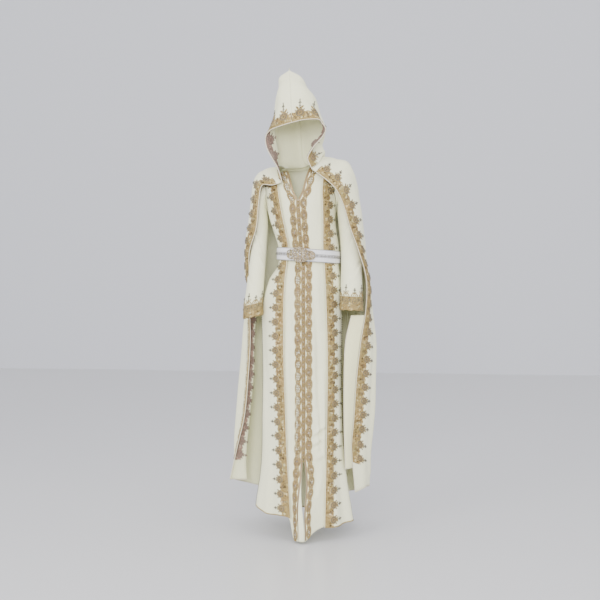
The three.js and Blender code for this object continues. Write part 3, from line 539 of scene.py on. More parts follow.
def noise(nodes, links, sx, sy, detail, **inputs):
    """Uneven specks, stretched by the two scales."""
    at = {"Vector": scaled_uv(nodes, links, sx, sy), "Scale": 1.0, "Detail": detail}
    return put(nodes, links, "ShaderNodeTexNoise", {**at, **inputs}).outputs["Fac"]


def wave(nodes, links, scale, turned, distortion, detail, **settings):
    """Fine parallel ribs, as threads lie beside each other."""
    place = scaled_uv(nodes, links, scale, scale, turned)
    at = {"Vector": place, "Scale": 1.0, "Distortion": distortion, "Detail": detail}
    return put(nodes, links, "ShaderNodeTexWave", at, **settings).outputs["Fac"]


def maths(nodes, links, operation, a, b):
    return put(nodes, links, "ShaderNodeMath", {0: a, 1: b}, operation=operation).outputs[0]


def relief(nodes, links, bsdf, height, strength, distance):
    """Small relief in the shading, for threads too fine to model."""
    b = put(nodes, links, "ShaderNodeBump", {"Height": height, "Strength": strength, "Distance": distance})
    links.new(b.outputs["Normal"], bsdf.inputs["Normal"])


# %% [markdown]
# The crepe of the dress, gown, cape and hood is one cloth, cut from one roll, so one function makes it. Only the
# turned-in border differs: it is seen from its warmer wrong side. The belt's satin is the same weave, finer and
# smoother. A plain white cloth would look like paper; the specks in the dye and the sheen at the edges make it cloth.

# %% Ivory crepe
def crepe(name, light, shade, sheen=0.35, rough=0.72, thread=900):
    m, nodes, links, bsdf = new_material(name)
    warp = wave(nodes, links, thread, 0.0, 1.5, 1.0, bands_direction="X")
    weft = wave(nodes, links, thread, 0.0, 1.5, 1.0, bands_direction="Y")
    weave = maths(nodes, links, "MULTIPLY", warp, weft)
    cloud = noise(nodes, links, 6, 3, 4.0, Roughness=0.55)
    slub = noise(nodes, links, 240, 40, 3.0)
    tone = maths(nodes, links, "MULTIPLY", maths(nodes, links, "ADD", cloud, slub), 0.5)
    links.new(ramp(nodes, links, tone, [(0.3, shade), (0.62, light)]), bsdf.inputs["Base Color"])
    spread = {"Value": slub, "To Min": rough - 0.08, "To Max": rough + 0.08}
    dryness = put(nodes, links, "ShaderNodeMapRange", spread).outputs["Result"]
    links.new(dryness, bsdf.inputs["Roughness"])
    relief(nodes, links, bsdf, maths(nodes, links, "ADD", weave, slub), 0.22, 0.0004)
    bsdf.inputs["Sheen Weight"].default_value = sheen
    bsdf.inputs["Sheen Roughness"].default_value = 0.45
    bsdf.inputs["Specular IOR Level"].default_value = 0.3
    return m


IVORY = crepe("ivory_crepe", (0.87, 0.86, 0.60), (0.80, 0.79, 0.54), sheen=0.2)
IVORY_WARM = crepe("ivory_crepe_warm", (0.86, 0.83, 0.50), (0.78, 0.75, 0.43), sheen=0.2)
SATIN = crepe("belt_satin", (0.78, 0.77, 0.79), (0.70, 0.69, 0.71), sheen=0.2, rough=0.38, thread=1400)
print("cloth finishes", [m.name for m in (IVORY, IVORY_WARM, SATIN)])

# %% [markdown]
# The embroidery is couched: thick metal thread laid on the cloth in scrolls and held down by tiny stitches. The
# ground between the scrolls is close filling work, a cell pattern at the size of the stitches in tones of gold. Its
# palest cells stand partly for specks of bare ivory and partly for painted highlights on the metal thread. The raised
# cords and the beads on top are real geometry.

# %% Gold filling, gold cord, beads
def filling(name, tones, seam, cell=115, metal=0.25, rough=0.5):
    """Close needlework: small cells, each in one of the given tones, parted by a line of laid thread."""
    m, nodes, links, bsdf = new_material(name)
    stitches = {"Vector": scaled_uv(nodes, links, cell, cell), "Scale": 1.0, "Randomness": 0.95}
    cells = put(nodes, links, "ShaderNodeTexVoronoi", stitches).outputs["Color"]
    lines = put(nodes, links, "ShaderNodeTexVoronoi", stitches, feature="DISTANCE_TO_EDGE").outputs["Distance"]
    pick = put(nodes, links, "ShaderNodeSeparateColor", {"Color": cells}).outputs["Red"]
    inside = ramp(nodes, links, pick, [(k / len(tones), tone) for k, tone in enumerate(tones)])
    reach = {"Value": lines, "From Min": 0.05, "From Max": 0.13, "To Min": 1.0, "To Max": 0.0}
    on_line = put(nodes, links, "ShaderNodeMapRange", reach).outputs["Result"]
    seamed = {"Fac": on_line, "Color1": inside, "Color2": (*seam, 1)}
    both = put(nodes, links, "ShaderNodeMixRGB", seamed).outputs["Color"]
    drift = noise(nodes, links, 16, 16, 2.0)
    tint = ramp(nodes, links, drift, [(0.35, (0.92, 1.0, 0.92)), (0.65, (1.08, 0.96, 0.86))])
    mixed = {"Fac": 0.8, "Color1": both, "Color2": tint}
    dyed = put(nodes, links, "ShaderNodeMixRGB", mixed, blend_type="MULTIPLY").outputs["Color"]
    links.new(dyed, bsdf.inputs["Base Color"])
    twist = wave(nodes, links, 900, 0.8, 4.0, 2.0)
    relief(nodes, links, bsdf, maths(nodes, links, "ADD", twist, on_line), 0.6, 0.0008)
    bsdf.inputs["Metallic"].default_value = metal
    bsdf.inputs["Roughness"].default_value = rough
    return m


def thread(name, colour, dark, metal=0.7, rough=0.36):
    """Twisted thread, or small faceted things strung on one: slanting ribs between two tones."""
    m, nodes, links, bsdf = new_material(name)
    ribs = wave(nodes, links, 1400, 0.7, 1.0, 2.0)
    tone = maths(nodes, links, "MULTIPLY", ribs, noise(nodes, links, 60, 60, 3.0))
    links.new(ramp(nodes, links, tone, [(0.1, dark), (0.55, colour)]), bsdf.inputs["Base Color"])
    relief(nodes, links, bsdf, ribs, 0.5, 0.0003)
    bsdf.inputs["Metallic"].default_value = metal
    bsdf.inputs["Roughness"].default_value = rough
    return m


# The last and palest tone is partly a painted highlight on the metal thread.
GOLDS_AND_HIGHLIGHT = [(0.09, 0.06, 0.02), (0.18, 0.125, 0.045), (0.29, 0.205, 0.075), (0.38, 0.275, 0.11), (0.66, 0.58, 0.34)]
ROSES = [(0.16, 0.11, 0.07), (0.32, 0.215, 0.11), (0.45, 0.32, 0.16)]
FILIGREE = [(0.07, 0.055, 0.035), (0.20, 0.16, 0.10), (0.36, 0.29, 0.17), (0.64, 0.60, 0.60)]
FILL = filling("gold_filling", GOLDS_AND_HIGHLIGHT, (0.42, 0.30, 0.11))
ROSE = filling("gold_flowers", ROSES, (0.42, 0.29, 0.12), cell=170)
CORD = thread("gold_cord", (0.54, 0.40, 0.16), (0.26, 0.18, 0.06), metal=0.4)
BROWN = thread("brown_gold_thread", (0.36, 0.26, 0.13), (0.18, 0.12, 0.06), metal=0.3)
BEAD = thread("smoky_beads", (0.22, 0.20, 0.14), (0.11, 0.10, 0.07), metal=0.2, rough=0.3)
DULLS = [(0.14, 0.10, 0.08), (0.24, 0.16, 0.125), (0.34, 0.235, 0.19), (0.46, 0.34, 0.28)]
REVERSE = filling("embroidery_reverse", DULLS, (0.30, 0.18, 0.15), metal=0.0, rough=0.8)
REVERSE_CORD = thread("reverse_cord", (0.34, 0.24, 0.19), (0.18, 0.125, 0.10), metal=0.0, rough=0.7)
PIPING = thread("ivory_piping", (0.84, 0.79, 0.64), (0.66, 0.60, 0.44), metal=0.1, rough=0.5)
CLASP = thread("clasp_metal", (0.60, 0.50, 0.34), (0.26, 0.21, 0.13), metal=0.9, rough=0.26)
SILVER = thread("silver_beads", (0.50, 0.48, 0.46), (0.22, 0.21, 0.20), metal=0.8, rough=0.3)
PLATE = filling("clasp_ground", FILIGREE, (0.42, 0.33, 0.18), cell=150, metal=0.7, rough=0.3)
STONE = thread("clear_stones", (0.90, 0.90, 0.95), (0.60, 0.56, 0.66), metal=0.5, rough=0.08)
print("gold tones from dark to light", GOLDS_AND_HIGHLIGHT[0], "to", GOLDS_AND_HIGHLIGHT[-1])

# %% [markdown]
# One builder turns a grid of points into a piece of cloth with a UV in metres, and one turns many small strips into
# the cords of the embroidery. Building meshes from arrays keeps a thousand small scrolls as one light object.

# %% Mesh builders
made = {}


def to_metres(points):
    p = np.asarray(points, float).reshape(-1, 3) / 1000
    p[:, 2] -= HELD_Z / 1000
    return p


def mesh_piece(name, points, faces, uvs, material, smooth=True):
    mesh = bpy.data.meshes.new(name)
    mesh.from_pydata(to_metres(points).tolist(), [], faces.tolist())
    layer = mesh.uv_layers.new(name="UVMap")
    loops = np.zeros(len(mesh.loops), int)
    mesh.loops.foreach_get("vertex_index", loops)
    layer.data.foreach_set("uv", (np.asarray(uvs, float)[loops] / 1000).ravel())
    mesh.polygons.foreach_set("use_smooth", [smooth] * len(mesh.polygons))
    mesh.materials.append(material)
    o = bpy.data.objects.new(name, mesh)
    bpy.context.scene.collection.objects.link(o)
    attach(o, "root")
    made[name] = o
    return o


def grid_faces(rows, cols):
    r, c = np.meshgrid(np.arange(rows - 1), np.arange(cols - 1), indexing="ij")
    a = (r * cols + c).ravel()
    return np.stack([a, a + cols, a + cols + 1, a + 1], -1)


def cloth(name, grid, material, stands_for, thick=0.9):
    """A thin shell from a grid, put in place of the solid that it stands for."""
    rows, cols = grid.shape[:2]
    u, v = run(grid, 1), run(grid, 0)
    o = mesh_piece(name, grid, grid_faces(rows, cols), np.stack([u, v], -1).reshape(-1, 2), material)
    solid = o.modifiers.new("cloth_wall", "SOLIDIFY")
    solid.thickness, solid.offset = thick / 1000, -1
    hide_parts(stands_for)
    step_u, step_v = np.gradient(grid, axis=1), np.gradient(grid, axis=0)
    area = float(np.linalg.norm(np.cross(step_u, step_v), axis=-1).sum()) / 1e6
    wide, long = round(float(u[:, -1].max()) / 1000, 3), round(float(v[-1].max()) / 1000, 3)
    area = min(max(area, 0.3 * wide * long), wide * long)
    print(f"{name}: cut {wide:.2f} x {long:.2f} m, {area:.3f} m2")
    return o


def strips(name, paths, material, stands_for=None):
    """Half-round cords: each path is (points, normals, half width, height) in millimetres."""
    verts, faces, uvs, base = [], [], [], 0
    for points, norm, wide, high in paths:
        n = len(points)
        if n < 2:
            continue
        along = np.gradient(points, axis=0)
        along /= np.linalg.norm(along, axis=1, keepdims=True) + 1e-9
        side = np.cross(norm, along)
        side /= np.linalg.norm(side, axis=1, keepdims=True) + 1e-9
        section = [(-wide, 0), (-wide * 0.55, high * 0.85), (wide * 0.55, high * 0.85), (wide, 0)]  # a flat arch
        ring = np.stack([points + side * a + norm * b for a, b in section], 1)
        length = np.r_[0, np.cumsum(np.linalg.norm(np.diff(points, axis=0), axis=1))]
        verts.append(ring.reshape(-1, 3))
        uvs.append(np.stack([np.tile([0, wide, 2 * wide, 3 * wide], n), np.repeat(length, 4)], -1))
        i = np.arange(n - 1)[:, None] * 4 + np.arange(3)[None, :]
        i = i.ravel() + base
        faces.append(np.stack([i, i + 1, i + 5, i + 4], -1))
        base += n * 4
    o = mesh_piece(name, np.concatenate(verts), np.concatenate(faces), np.concatenate(uvs), material)
    if stands_for:
        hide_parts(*stands_for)
    return o


def beads(name, places, material, stands_for=None):
    """Small faceted beads: each place is (point, radius)."""
    g = (1 + 5 ** 0.5) / 2  # the corners of a 20-sided bead lie on three crossed golden rectangles
    base = np.array([
        (-1, g, 0), (1, g, 0), (-1, -g, 0), (1, -g, 0), (0, -1, g), (0, 1, g),
        (0, -1, -g), (0, 1, -g), (g, 0, -1), (g, 0, 1), (-g, 0, -1), (-g, 0, 1),
    ])
    base /= np.linalg.norm(base[0])
    tri = np.array([
        (0, 11, 5), (0, 5, 1), (0, 1, 7), (0, 7, 10), (0, 10, 11), (1, 5, 9), (5, 11, 4), (11, 10, 2), (10, 7, 6),
        (7, 1, 8), (3, 9, 4), (3, 4, 2), (3, 2, 6), (3, 6, 8), (3, 8, 9), (4, 9, 5), (2, 4, 11), (6, 2, 10),
        (8, 6, 7), (9, 8, 1),
    ])
    centres = np.array([p for p, _ in places])
    radii = np.array([r for _, r in places])
    verts = (centres[:, None] + base[None] * radii[:, None, None]).reshape(-1, 3)
    faces = (tri[None] + (np.arange(len(places)) * 12)[:, None, None]).reshape(-1, 3)
    o = mesh_piece(name, verts, faces, verts[:, [0, 2]], material)
    if stands_for:
        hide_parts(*stands_for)
    return o


print("one bead has 20 sides, one cord 3 faces for each step")

# %% [markdown]
# A band of embroidery lives in its own flat measure: s runs along the panel's edge and t goes in from it. The map
# below takes any point (s, t, height) to the curved cloth, so that the same flat drawing can be laid on a gown
# front, a hood or a cuff.

# %% The map from flat drawing to cloth
BAND_STEP = 2.5  # the map's own grid, along the edge
BAND_IN = 2.0  # and in from it


class Band:
    def __init__(self, grid, norm, flip=False, deep=110, start=0.0, end=None, measure=20):
        """grid's first column is the edge; flip takes the last one. deep is how far the map reaches in, and the
        length is measured that far in from the edge."""
        if flip:
            grid, norm = grid[:, ::-1], norm[:, ::-1]
        across = run(grid, 1)
        t = np.arange(0, deep + 1, BAND_IN)
        rows = []
        for r in range(len(grid)):
            rows.append([np.interp(t, across[r], f[r, :, k]) for f in (grid, norm) for k in range(3)])
        rows = np.array(rows).transpose(0, 2, 1)
        k = min(int(measure / BAND_IN), len(t) - 1)
        s = np.r_[0, np.cumsum(np.linalg.norm(np.diff(rows[:, k, :3], axis=0), axis=1))]
        end = s[-1] if end is None else min(end, s[-1])
        self.length = end - start
        at = np.arange(start, end, BAND_STEP)
        i = np.clip(np.searchsorted(s, at, side="right") - 1, 0, len(s) - 2)
        f = ((at - s[i]) / (s[i + 1] - s[i] + 1e-9))[:, None, None]
        self.table = rows[i] * (1 - f) + rows[i + 1] * f
        self.veer = np.zeros(len(at))  # how far the drawing leaves the edge at each place

    def at(self, s, t, h=0.0):
        """Points and normals on the cloth for a drawing at (s, t), lifted by h."""
        s = np.clip(np.asarray(s, float) / BAND_STEP, 0, len(self.table) - 1.001)
        t = np.asarray(t, float) + np.interp(s, np.arange(len(self.veer)), self.veer)
        t = np.clip(t / BAND_IN, 0, self.table.shape[1] - 1.001)
        i, j = s.astype(int), t.astype(int)
        fs, ft = (s - i)[:, None], (t - j)[:, None]
        T = self.table
        near, far = T[i, j] * (1 - fs) + T[i + 1, j] * fs, T[i, j + 1] * (1 - fs) + T[i + 1, j + 1] * fs
        p = near * (1 - ft) + far * ft
        n = p[:, 3:] / (np.linalg.norm(p[:, 3:], axis=1, keepdims=True) + 1e-9)
        return p[:, :3] + n * np.reshape(h, (-1, 1)), n


print("a band is mapped every", BAND_STEP, "mm along and", BAND_IN, "mm in")

# %% [markdown]
# The drawing itself is a general scroll border of the kind couched on festive gowns: a round flower in each repeat,
# leaf scrolls between the flowers, and from every flower a slim pointed finial that ends in dark beads.

# %% Flat motifs
def arc(cx, cy, rx, ry, a0, a1, n):
    a = np.radians(np.linspace(a0, a1, n))
    return np.stack([cx + rx * np.cos(a), cy + ry * np.sin(a)], -1)


def petal(cx, cy, reach, wide, deg, n=7):
    """A leaf loop that starts and ends at (cx, cy) and points along deg."""
    a = np.linspace(0, 2 * math.pi, n)
    loop = np.stack([reach * (1 - np.cos(a)) / 2, wide * np.sin(a) * (0.6 + 0.4 * np.cos(a / 2))], -1)
    c, s = math.cos(math.radians(deg)), math.sin(math.radians(deg))
    return np.stack([cx + loop[:, 0] * c - loop[:, 1] * s, cy + loop[:, 0] * s + loop[:, 1] * c], -1)


def flower(cx, cy, r, petals=8):
    out = [(arc(cx, cy, r, r, 0, 360, 17), 1.7), (arc(cx, cy, r * 0.38, r * 0.38, 0, 360, 9), 1.2)]
    for k in range(petals):
        deg = 360 * k / petals + 22
        base = (cx + r * 0.42 * math.cos(math.radians(deg)), cy + r * 0.42 * math.sin(math.radians(deg)))
        out.append((petal(*base, r * 0.48, r * 0.15, deg), 1.0))
    return out


def scroll(cx, cy, big, small, start, sign, n=15):
    """A volute that winds in from a big radius to a small one."""
    w = np.linspace(0, 1, n)
    a = np.radians(start + sign * 430 * w)
    r = big + (small - big) * w
    return np.stack([cx + r * np.cos(a), cy + r * np.sin(a)], -1)


def border_repeat(pitch, r, mid):
    """One repeat of the border, centred on s = 0: gold curves as (points, half width)."""
    curves = flower(0, mid, r)
    h, ground = pitch / 2, mid - 6
    for sgn in (-1, 1):
        curves.append((scroll(sgn * h * 0.56, ground * 0.5, ground * 0.3, ground * 0.09, 90, sgn), 1.1))
        curves.append((petal(sgn * h, ground * 0.38, ground * 0.62, 4.4, 90), 1.0))
        curves.append((petal(sgn * (h - 2), ground * 0.8, 11, 3.4, 90 - sgn * 50), 1.0))
        curves.append((petal(sgn * r * 0.8, mid + r * 0.55, 9, 2.8, 90 - sgn * 34), 1.0))
    return curves


def finial(base, tall):
    """The pointed spray beyond a flower: gold leaves at its foot, and a dark stem that ends in a cross of beads."""
    gold = [(petal(0, base - 2, tall * 0.5, tall * 0.13, 90 - sgn * 44), 1.0) for sgn in (-1, 1)]
    stem = np.array([(0, base - 1), (0, base + tall * 0.45), (0, base + tall * 0.98)])
    arms = np.array([(-4.2, base + tall * 0.66), (0, base + tall * 0.7), (4.2, base + tall * 0.66)])
    dark = [(stem, 1.7), (arms, 1.5)]
    dots = [(0, base + tall * 0.7, 3.2), (0, base + tall * 1.0, 2.2)]
    dots += [(sgn * 4.2, base + tall * 0.66, 2.0) for sgn in (-1, 1)]
    return gold, dark, dots


print("curves in one repeat", len(border_repeat(56, 13.5, 35)))

# %% [markdown]
# On the real border the drawing is pricked on paper, pounced on the cloth and then couched. Here the flat curves are
# laid on the cloth by the band's map. The ground is filled shapes, and on them lie the cords: the bold outlines in
# bright gold, the fine leaves in brown gold, the stems in dark beads. One object holds all of one thread of a border.

# %% Lay a border along a band
def lay(band, curves, centre, h):
    """Each flat curve of a motif, taken to the cloth."""
    out = []
    for points, wide in curves:
        p, n = band.at(centre + points[:, 0], points[:, 1], h)
        out.append((p, n, wide, wide * 1.1))
    return out


def lay_dots(band, dots, centre, h):
    """Beads at flat places, each sunk to half its radius."""
    return [(band.at(np.array([centre + a]), np.array([b]), h + r * 0.5)[0][0], r) for a, b, r in dots]


def fans(name, shapes, material, stands_for=None):
    """Filled flat shapes: each is a closed line of points on the cloth, filled from its middle."""
    verts, faces, uvs, base = [], [], [], 0
    for line in shapes:
        n = len(line)
        middle = line.mean(0)
        verts.append(np.vstack([middle, line]))
        i = np.arange(n - 1) + base + 1
        faces.append(np.stack([np.full(n - 1, base), i, i + 1], -1))
        uvs.append(np.vstack([middle, line])[:, [0, 2]])
        base += n + 1
    points, faces, uvs = np.concatenate(verts), np.concatenate(faces), np.concatenate(uvs)
    o = mesh_piece(name, points, faces, uvs, material, smooth=False)
    if stands_for:
        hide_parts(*stands_for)
    return o


def worked_strip(band, depth, h, step=3.2, first=0.8, rows=4):
    """The worked ground from the edge to a scalloped outline, as a closed line for each short piece."""
    s = np.arange(1.0, band.length - 1.0, step)
    out = []
    for a, b in zip(s[:-1], s[1:]):
        for k in range(rows):
            lo, hi = k / rows, (k + 1) / rows
            ta, tb = depth(a) - first, depth(b) - first
            corners = [(a, ta * lo), (b, tb * lo), (b, tb * hi), (a, ta * hi), (a, ta * lo)]
            s_at, t_at = np.array(corners).T
            out.append(band.at(s_at, first + t_at, h)[0])
    return out


BRIGHT = (FILL, ROSE, CORD, BROWN, BEAD)  # the threads of the right side: ground, flowers, outlines, leaves, stems


def embroider(name, band, pitch, r, mid, tall, stands_for=None, out=1, threads=BRIGHT, lift=0.5, full=5):
    """The worked ground, its flowers and scrolls, and the stems and beads of one border.

    r is a flower's radius and mid how far in its middle lies; tall is the finial's height beyond it. The ground's
    scallops reach full beyond the flowers' middles. out is -1 on the inner face."""
    fill, rose, cord, vein, bead = threads
    count = round(band.length / pitch)
    pitch = band.length / count
    gold, veins, dark, dots, discs = [], [], [], [], []
    depth = lambda s: mid + full - 6 + 4.5 * abs(math.cos(3 * math.pi * s / pitch))
    filled = worked_strip(band, depth, out * lift)
    one = border_repeat(pitch, r, mid)
    bold, fine = [c for c in one if c[1] > 1.0], [c for c in one if c[1] <= 1.0]
    disc = arc(0, mid, r, r, 0, 360, 19)
    ring = [(arc(0, mid, r * 0.8, r * 0.8, 0, 360, 17), 1.5)]
    for k in range(count):
        centre = (k + 0.5) * pitch
        high = tall * (0.92 + 0.04 * (k * 7 % 5))
        leaves, stems, tips = finial(mid + r, high)
        discs.append(band.at(centre + disc[:, 0], disc[:, 1], out * (lift + 0.3))[0])
        filled += [band.at(centre + c[:, 0], c[:, 1], out * lift)[0] for c, _ in leaves]
        gold += lay(band, bold + leaves, centre, out * (lift + 0.35))
        veins += lay(band, fine, centre, out * (lift + 0.35))
        dark += lay(band, stems + ring, centre, out * (lift + 0.4))
        dots += lay_dots(band, tips + [(0, mid, 3.2)], centre, out * lift)
    line = np.arange(1.0, band.length - 1.0, 6.0)
    for t, w in ((1.6, 1.8), (7.0, 1.1)):
        p, n = band.at(line, np.full(len(line), t), out * (lift + 0.2))
        gold.append((p, n, w, w * 1.1))
    fans(name + "_ground", filled, fill, stands_for)
    fans(name + "_flowers", discs, rose)
    for part, paths, material in (("_cords", gold, cord), ("_veins", veins, vein), ("_stems", dark, bead)):
        strips(name + part, [(p, n * out, w, h) for p, n, w, h in paths], material)
    beads(name + "_beads", dots, bead)
    print(f"{name}: {count} repeats of {pitch:.1f} mm")


# %% [markdown]
# The inner dress. Its two fronts meet at the button line and open in a slit at the foot, where the corners kick
# forward. It hangs a little inside the gown, on the same sections, so the two never touch.

# %% Inner dress
ROWS, COLS = int(182 * FINE), int(52 * FINE)
KNEE_BREAKS = [  # short slanting folds where the front breaks over the knee, as (u0, v0, u1, v1, half width, depth)
    (40, 1108, 80, 1062, 6, 6.0), (40, 1120, 84, 1074, 8, -6.0), (36, 1160, 70, 1128, 6, -5.0),
    (38, 1148, 74, 1112, 6, 4.0), (44, 1200, 78, 1170, 7, 4.4),
]
LONG_FOLDS = [  # and folds that fall down the skirt
    (46, 1180, 40, 1330, 9, -3.0), (66, 1140, 60, 1340, 10, 3.0), (72, 700, 60, 1000, 16, -3.0),
    (48, 420, 60, 680, 14, 2.4), (52, 780, 70, 1160, 9, -4.4), (76, 860, 82, 1300, 8, 3.6),
    (44, 560, 62, 860, 9, -3.4), (60, 1000, 50, 1240, 7, 3.2),
]
LEFT_SHIFT = 118  # the left front is wider, so its folds lie further in from the side seam
dress = {}
for side, sign in (("right", 1), ("left", -1)):
    g = front_panel(side, dress_edge(sign), "dress", DRESS_INSIDE, COLS, ROWS)
    if side == "right":
        marks = KNEE_BREAKS + LONG_FOLDS
        near = lambda u, v: ease((u - 8) / 30)
    else:
        marks = [(a + LEFT_SHIFT, b, c + LEFT_SHIFT, d, w, e) for a, b, c, d, w, e in LONG_FOLDS]
        near = lambda u, v: ease((u[:, -1:] - u - 8) / 30)
    dress[side] = creased(g, marks, 0.8, 11 + sign, near)
    cloth(f"dress_front_{side}_cloth", dress[side], IVORY, f"dress_front_{side}")
dress["back"] = creased(back_panel("dress", DRESS_INSIDE, COLS, ROWS), (), 0.5, 5)
cloth("dress_back_cloth", dress["back"], IVORY, "dress_back")

# %% [markdown]
# The open gown: two fronts that frame the dress, and a full back, parted by side slits. Its creases fall from the
# armhole towards the belt and break again below it.

# %% Outer gown
gown = {}
GOWN_MARKS = {
    "right": [
        (52, 60, 40, 300, 12, -1.6), (60, 420, 70, 620, 14, 1.8), (44, 560, 52, 800, 12, -1.6),
        (56, 900, 66, 1280, 14, 1.6),
    ],
    "left": [
        (40, 120, 84, 310, 11, -3.0), (24, 150, 70, 330, 9, 2.2), (20, 230, 60, 340, 8, -2.0),
        (60, 430, 30, 640, 14, 1.8), (40, 620, 52, 980, 14, -1.6), (30, 1000, 60, 1320, 16, 1.8),
    ],
}
gown_cut = {"back": back_panel("gown", 0, COLS, ROWS)}
for side in ("right", "left"):
    g = gown_cut[side] = front_panel(side, gown_edge(side), "gown", 0, COLS, ROWS)
    if side == "right":
        clear = lambda u, v: ease((u - 40) / 20)  # no crease under the band, which stiffens the edge
    else:
        clear = lambda u, v: ease((u[:, -1:] - u - 40) / 20)
    gown[side] = creased(g, GOWN_MARKS[side], 0.8, 21 + len(side), clear)
    cloth(f"gown_front_{side}_cloth", gown[side], IVORY, f"gown_front_{side}")
gown["back"] = creased(gown_cut["back"], (), 0.5, 6)
cloth("gown_back_cloth", gown["back"], IVORY, "gown_back")

# %% [markdown]
# The sleeves are narrow tubes. Cloth gathers softly in the bend of the elbow and above the cuff, so short rings of
# trough and ridge lie there. They could be pulled from a simulated bend; listed marks are steadier.

# %% Sleeves
SLEEVE_MARKS = [
    (30, 180, 190, 205, 9, -2.4), (60, 205, 170, 216, 8, 2.0), (20, 240, 130, 262, 8, -2.2),
    (90, 262, 230, 250, 9, 1.8), (60, 390, 180, 402, 8, -1.8), (30, 412, 150, 408, 7, 1.4),
    (120, 60, 130, 160, 12, -2.2),
]
away = lambda u, v: ease((v - 4) / 30) * ease(u / 14) * ease((u[:, -1:] - u) / 14)  # none at the armhole and the seam
sleeves = {}
for side in ("right", "left"):
    hole = armhole(side, gown_cut, gown_cut["back"], int(58 * FINE))
    sleeves[side] = creased(sleeve_grid(side, hole, int(100 * FINE)), SLEEVE_MARKS, 0.5, 31 + len(side), away)
    cloth(f"sleeve_{side}_cloth", sleeves[side], IVORY, f"sleeve_{side}")

# %% [markdown]
# The cuff is interlined and worked all over, so it keeps its round. Its lower edge is scalloped, flowers fill it, and
# from its upper edge small crowns and finials climb the sleeve. Two maps are used: one runs up from the cuff's hem
# and one runs up from the sleeve's end, and both use the same flat motifs as the front borders.

# %% Cuffs
CUFF_REPEATS = 8
SCALLOP = 3.5
CROWN = arc(0, 1, 13, 12, 0, 180, 13)
closed_crown = np.vstack([CROWN, CROWN[:1]])
rosette = flower(0, 34, 13) + flower(0, 10, 8, 5)
for side in ("right", "left"):
    c = cuff_grid(side, 14, 80)
    scallops = SCALLOP * np.abs(np.sin(np.linspace(0, CUFF_REPEATS * math.pi, c.shape[1])))
    c[-3:, :, 2] += np.outer([0.3, 0.65, 1.0], scallops)
    cloth(f"cuff_{side}_band", c, FILL, f"cuff_{side}", thick=2.0)
    sleeve = sleeves[side]
    up = Band(c[::-1].transpose(1, 0, 2), normals(c)[::-1].transpose(1, 0, 2), deep=54)
    rise = Band(sleeve[::-1].transpose(1, 0, 2), normals(sleeve)[::-1].transpose(1, 0, 2), deep=60)
    pitch = up.length / CUFF_REPEATS
    curls = [(scroll(sgn * pitch * 0.36, 20, 8, 2.5, 90, sgn), 1.1) for sgn in (-1, 1)]
    rings = [(arc(0, 34, 10.5, 10.5, 0, 360, 17), 1.1), (arc(pitch / 2, 42, 5, 5, 0, 360, 11), 1.0)]
    gold, dark, dots, crowns = [], [], [], []
    for k in range(CUFF_REPEATS):
        centre = (k + 0.5) * pitch
        gold += lay(up, rosette, centre, 0.3) + lay(up, curls, centre, 0.3)
        dark += lay(up, rings, centre, 0.4)
        dots += lay_dots(up, [(0, 34, 3.0), (pitch / 2, 16, 2.2), (pitch / 2, 42, 2.2)], centre, 0.3)
        leaves, stems, tips = finial(12, 34 if k % 2 else 20)
        centre = (k + 0.5) * rise.length / CUFF_REPEATS
        crowns.append(rise.at(centre + closed_crown[:, 0], closed_crown[:, 1], 0.5)[0])
        gold += lay(rise, leaves + [(CROWN, 1.6), (arc(0, 1, 6, 6, 0, 180, 9), 1.1)], centre, 0.8)
        dark += lay(rise, stems, centre, 0.8)
        dots += lay_dots(rise, tips, centre, 0.6)
    for t in (2.5, 51):
        line = np.arange(0, up.length, 5.0)
        p, n = up.at(line, np.full(len(line), t), 0.2)
        gold.append((p, n, 1.6, 1.7))
    fans(f"cuff_{side}_crowns", crowns, FILL)
    strips(f"cuff_{side}_cords", gold, CORD)
    strips(f"cuff_{side}_stems", dark, BEAD)
    beads(f"cuff_{side}_beads", dots, BEAD)
print("cuff crowns", CUFF_REPEATS, "each,", round(pitch, 1), "mm apart on the left")

# %% [markdown]
# The cape falls from the hood's neck seam over both shoulders. It is three widths of cloth; its flutes are in the
# section tables, and the right front has a plain border turned in below the hand.

# %% Folds of the cape
CAPE_MARKS = {
    "right": [
        (150, 60, 200, 300, 14, -4.4), (190, 80, 250, 360, 14, 3.6), (110, 120, 130, 420, 14, -3.0),
        (80, 500, 96, 900, 16, 2.4),
    ],
    "back": [(60, 40, 66, 400, 18, 3.4), (150, 60, 140, 420, 18, -3.4), (230, 40, 240, 400, 18, 3.4)],
    "left": [(60, 60, 70, 420, 16, -3.6), (140, 90, 150, 420, 16, 3.4), (190, 520, 200, 900, 14, -2.4)],
}
HANG = columns("top foot start end wide deep", [
    (0.29, 0.27, 330, 1300, 19, -4.6), (0.38, 0.37, 420, 1340, 16, 4.8), (0.50, 0.50, 250, 1300, 21, -5.0),
    (0.59, 0.61, 460, 1350, 15, 4.4), (0.70, 0.71, 300, 1290, 18, -4.6), (0.81, 0.83, 380, 1340, 15, 4.6),
])


def hanging(grid):
    """Long folds down a cape panel, set as shares of its width at the shoulder and at the foot."""
    across, down = run(grid, 1)[:, -1], run(grid, 0)[:, 0]
    width = lambda v: float(np.interp(v, down, across))
    rows = zip(*HANG.values())
    return [(top * width(v0), v0, foot * width(v1), v1, wide, deep) for top, foot, v0, v1, wide, deep in rows]


print("hanging folds on each width", len(HANG["top"]))

# %% [markdown]
# Each width is a run of shares of the whole round. Its creases fade out before its seams, so that two widths meet
# without a step, and before a front edge, where the embroidery keeps the cloth flat.

# %% The cape's three widths
SEAMS = (0.33, 0.67)
CAPE_ROWS_FINE = int(190 * FINE)
WIDTHS = {  # first share, last share, columns, and the seed of its swell
    "right": (0.0, SEAMS[0], 80, 131),
    "back": (SEAMS[0], SEAMS[1], 72, 121),
    "left": (SEAMS[1], 1.0, 90, 141),
}


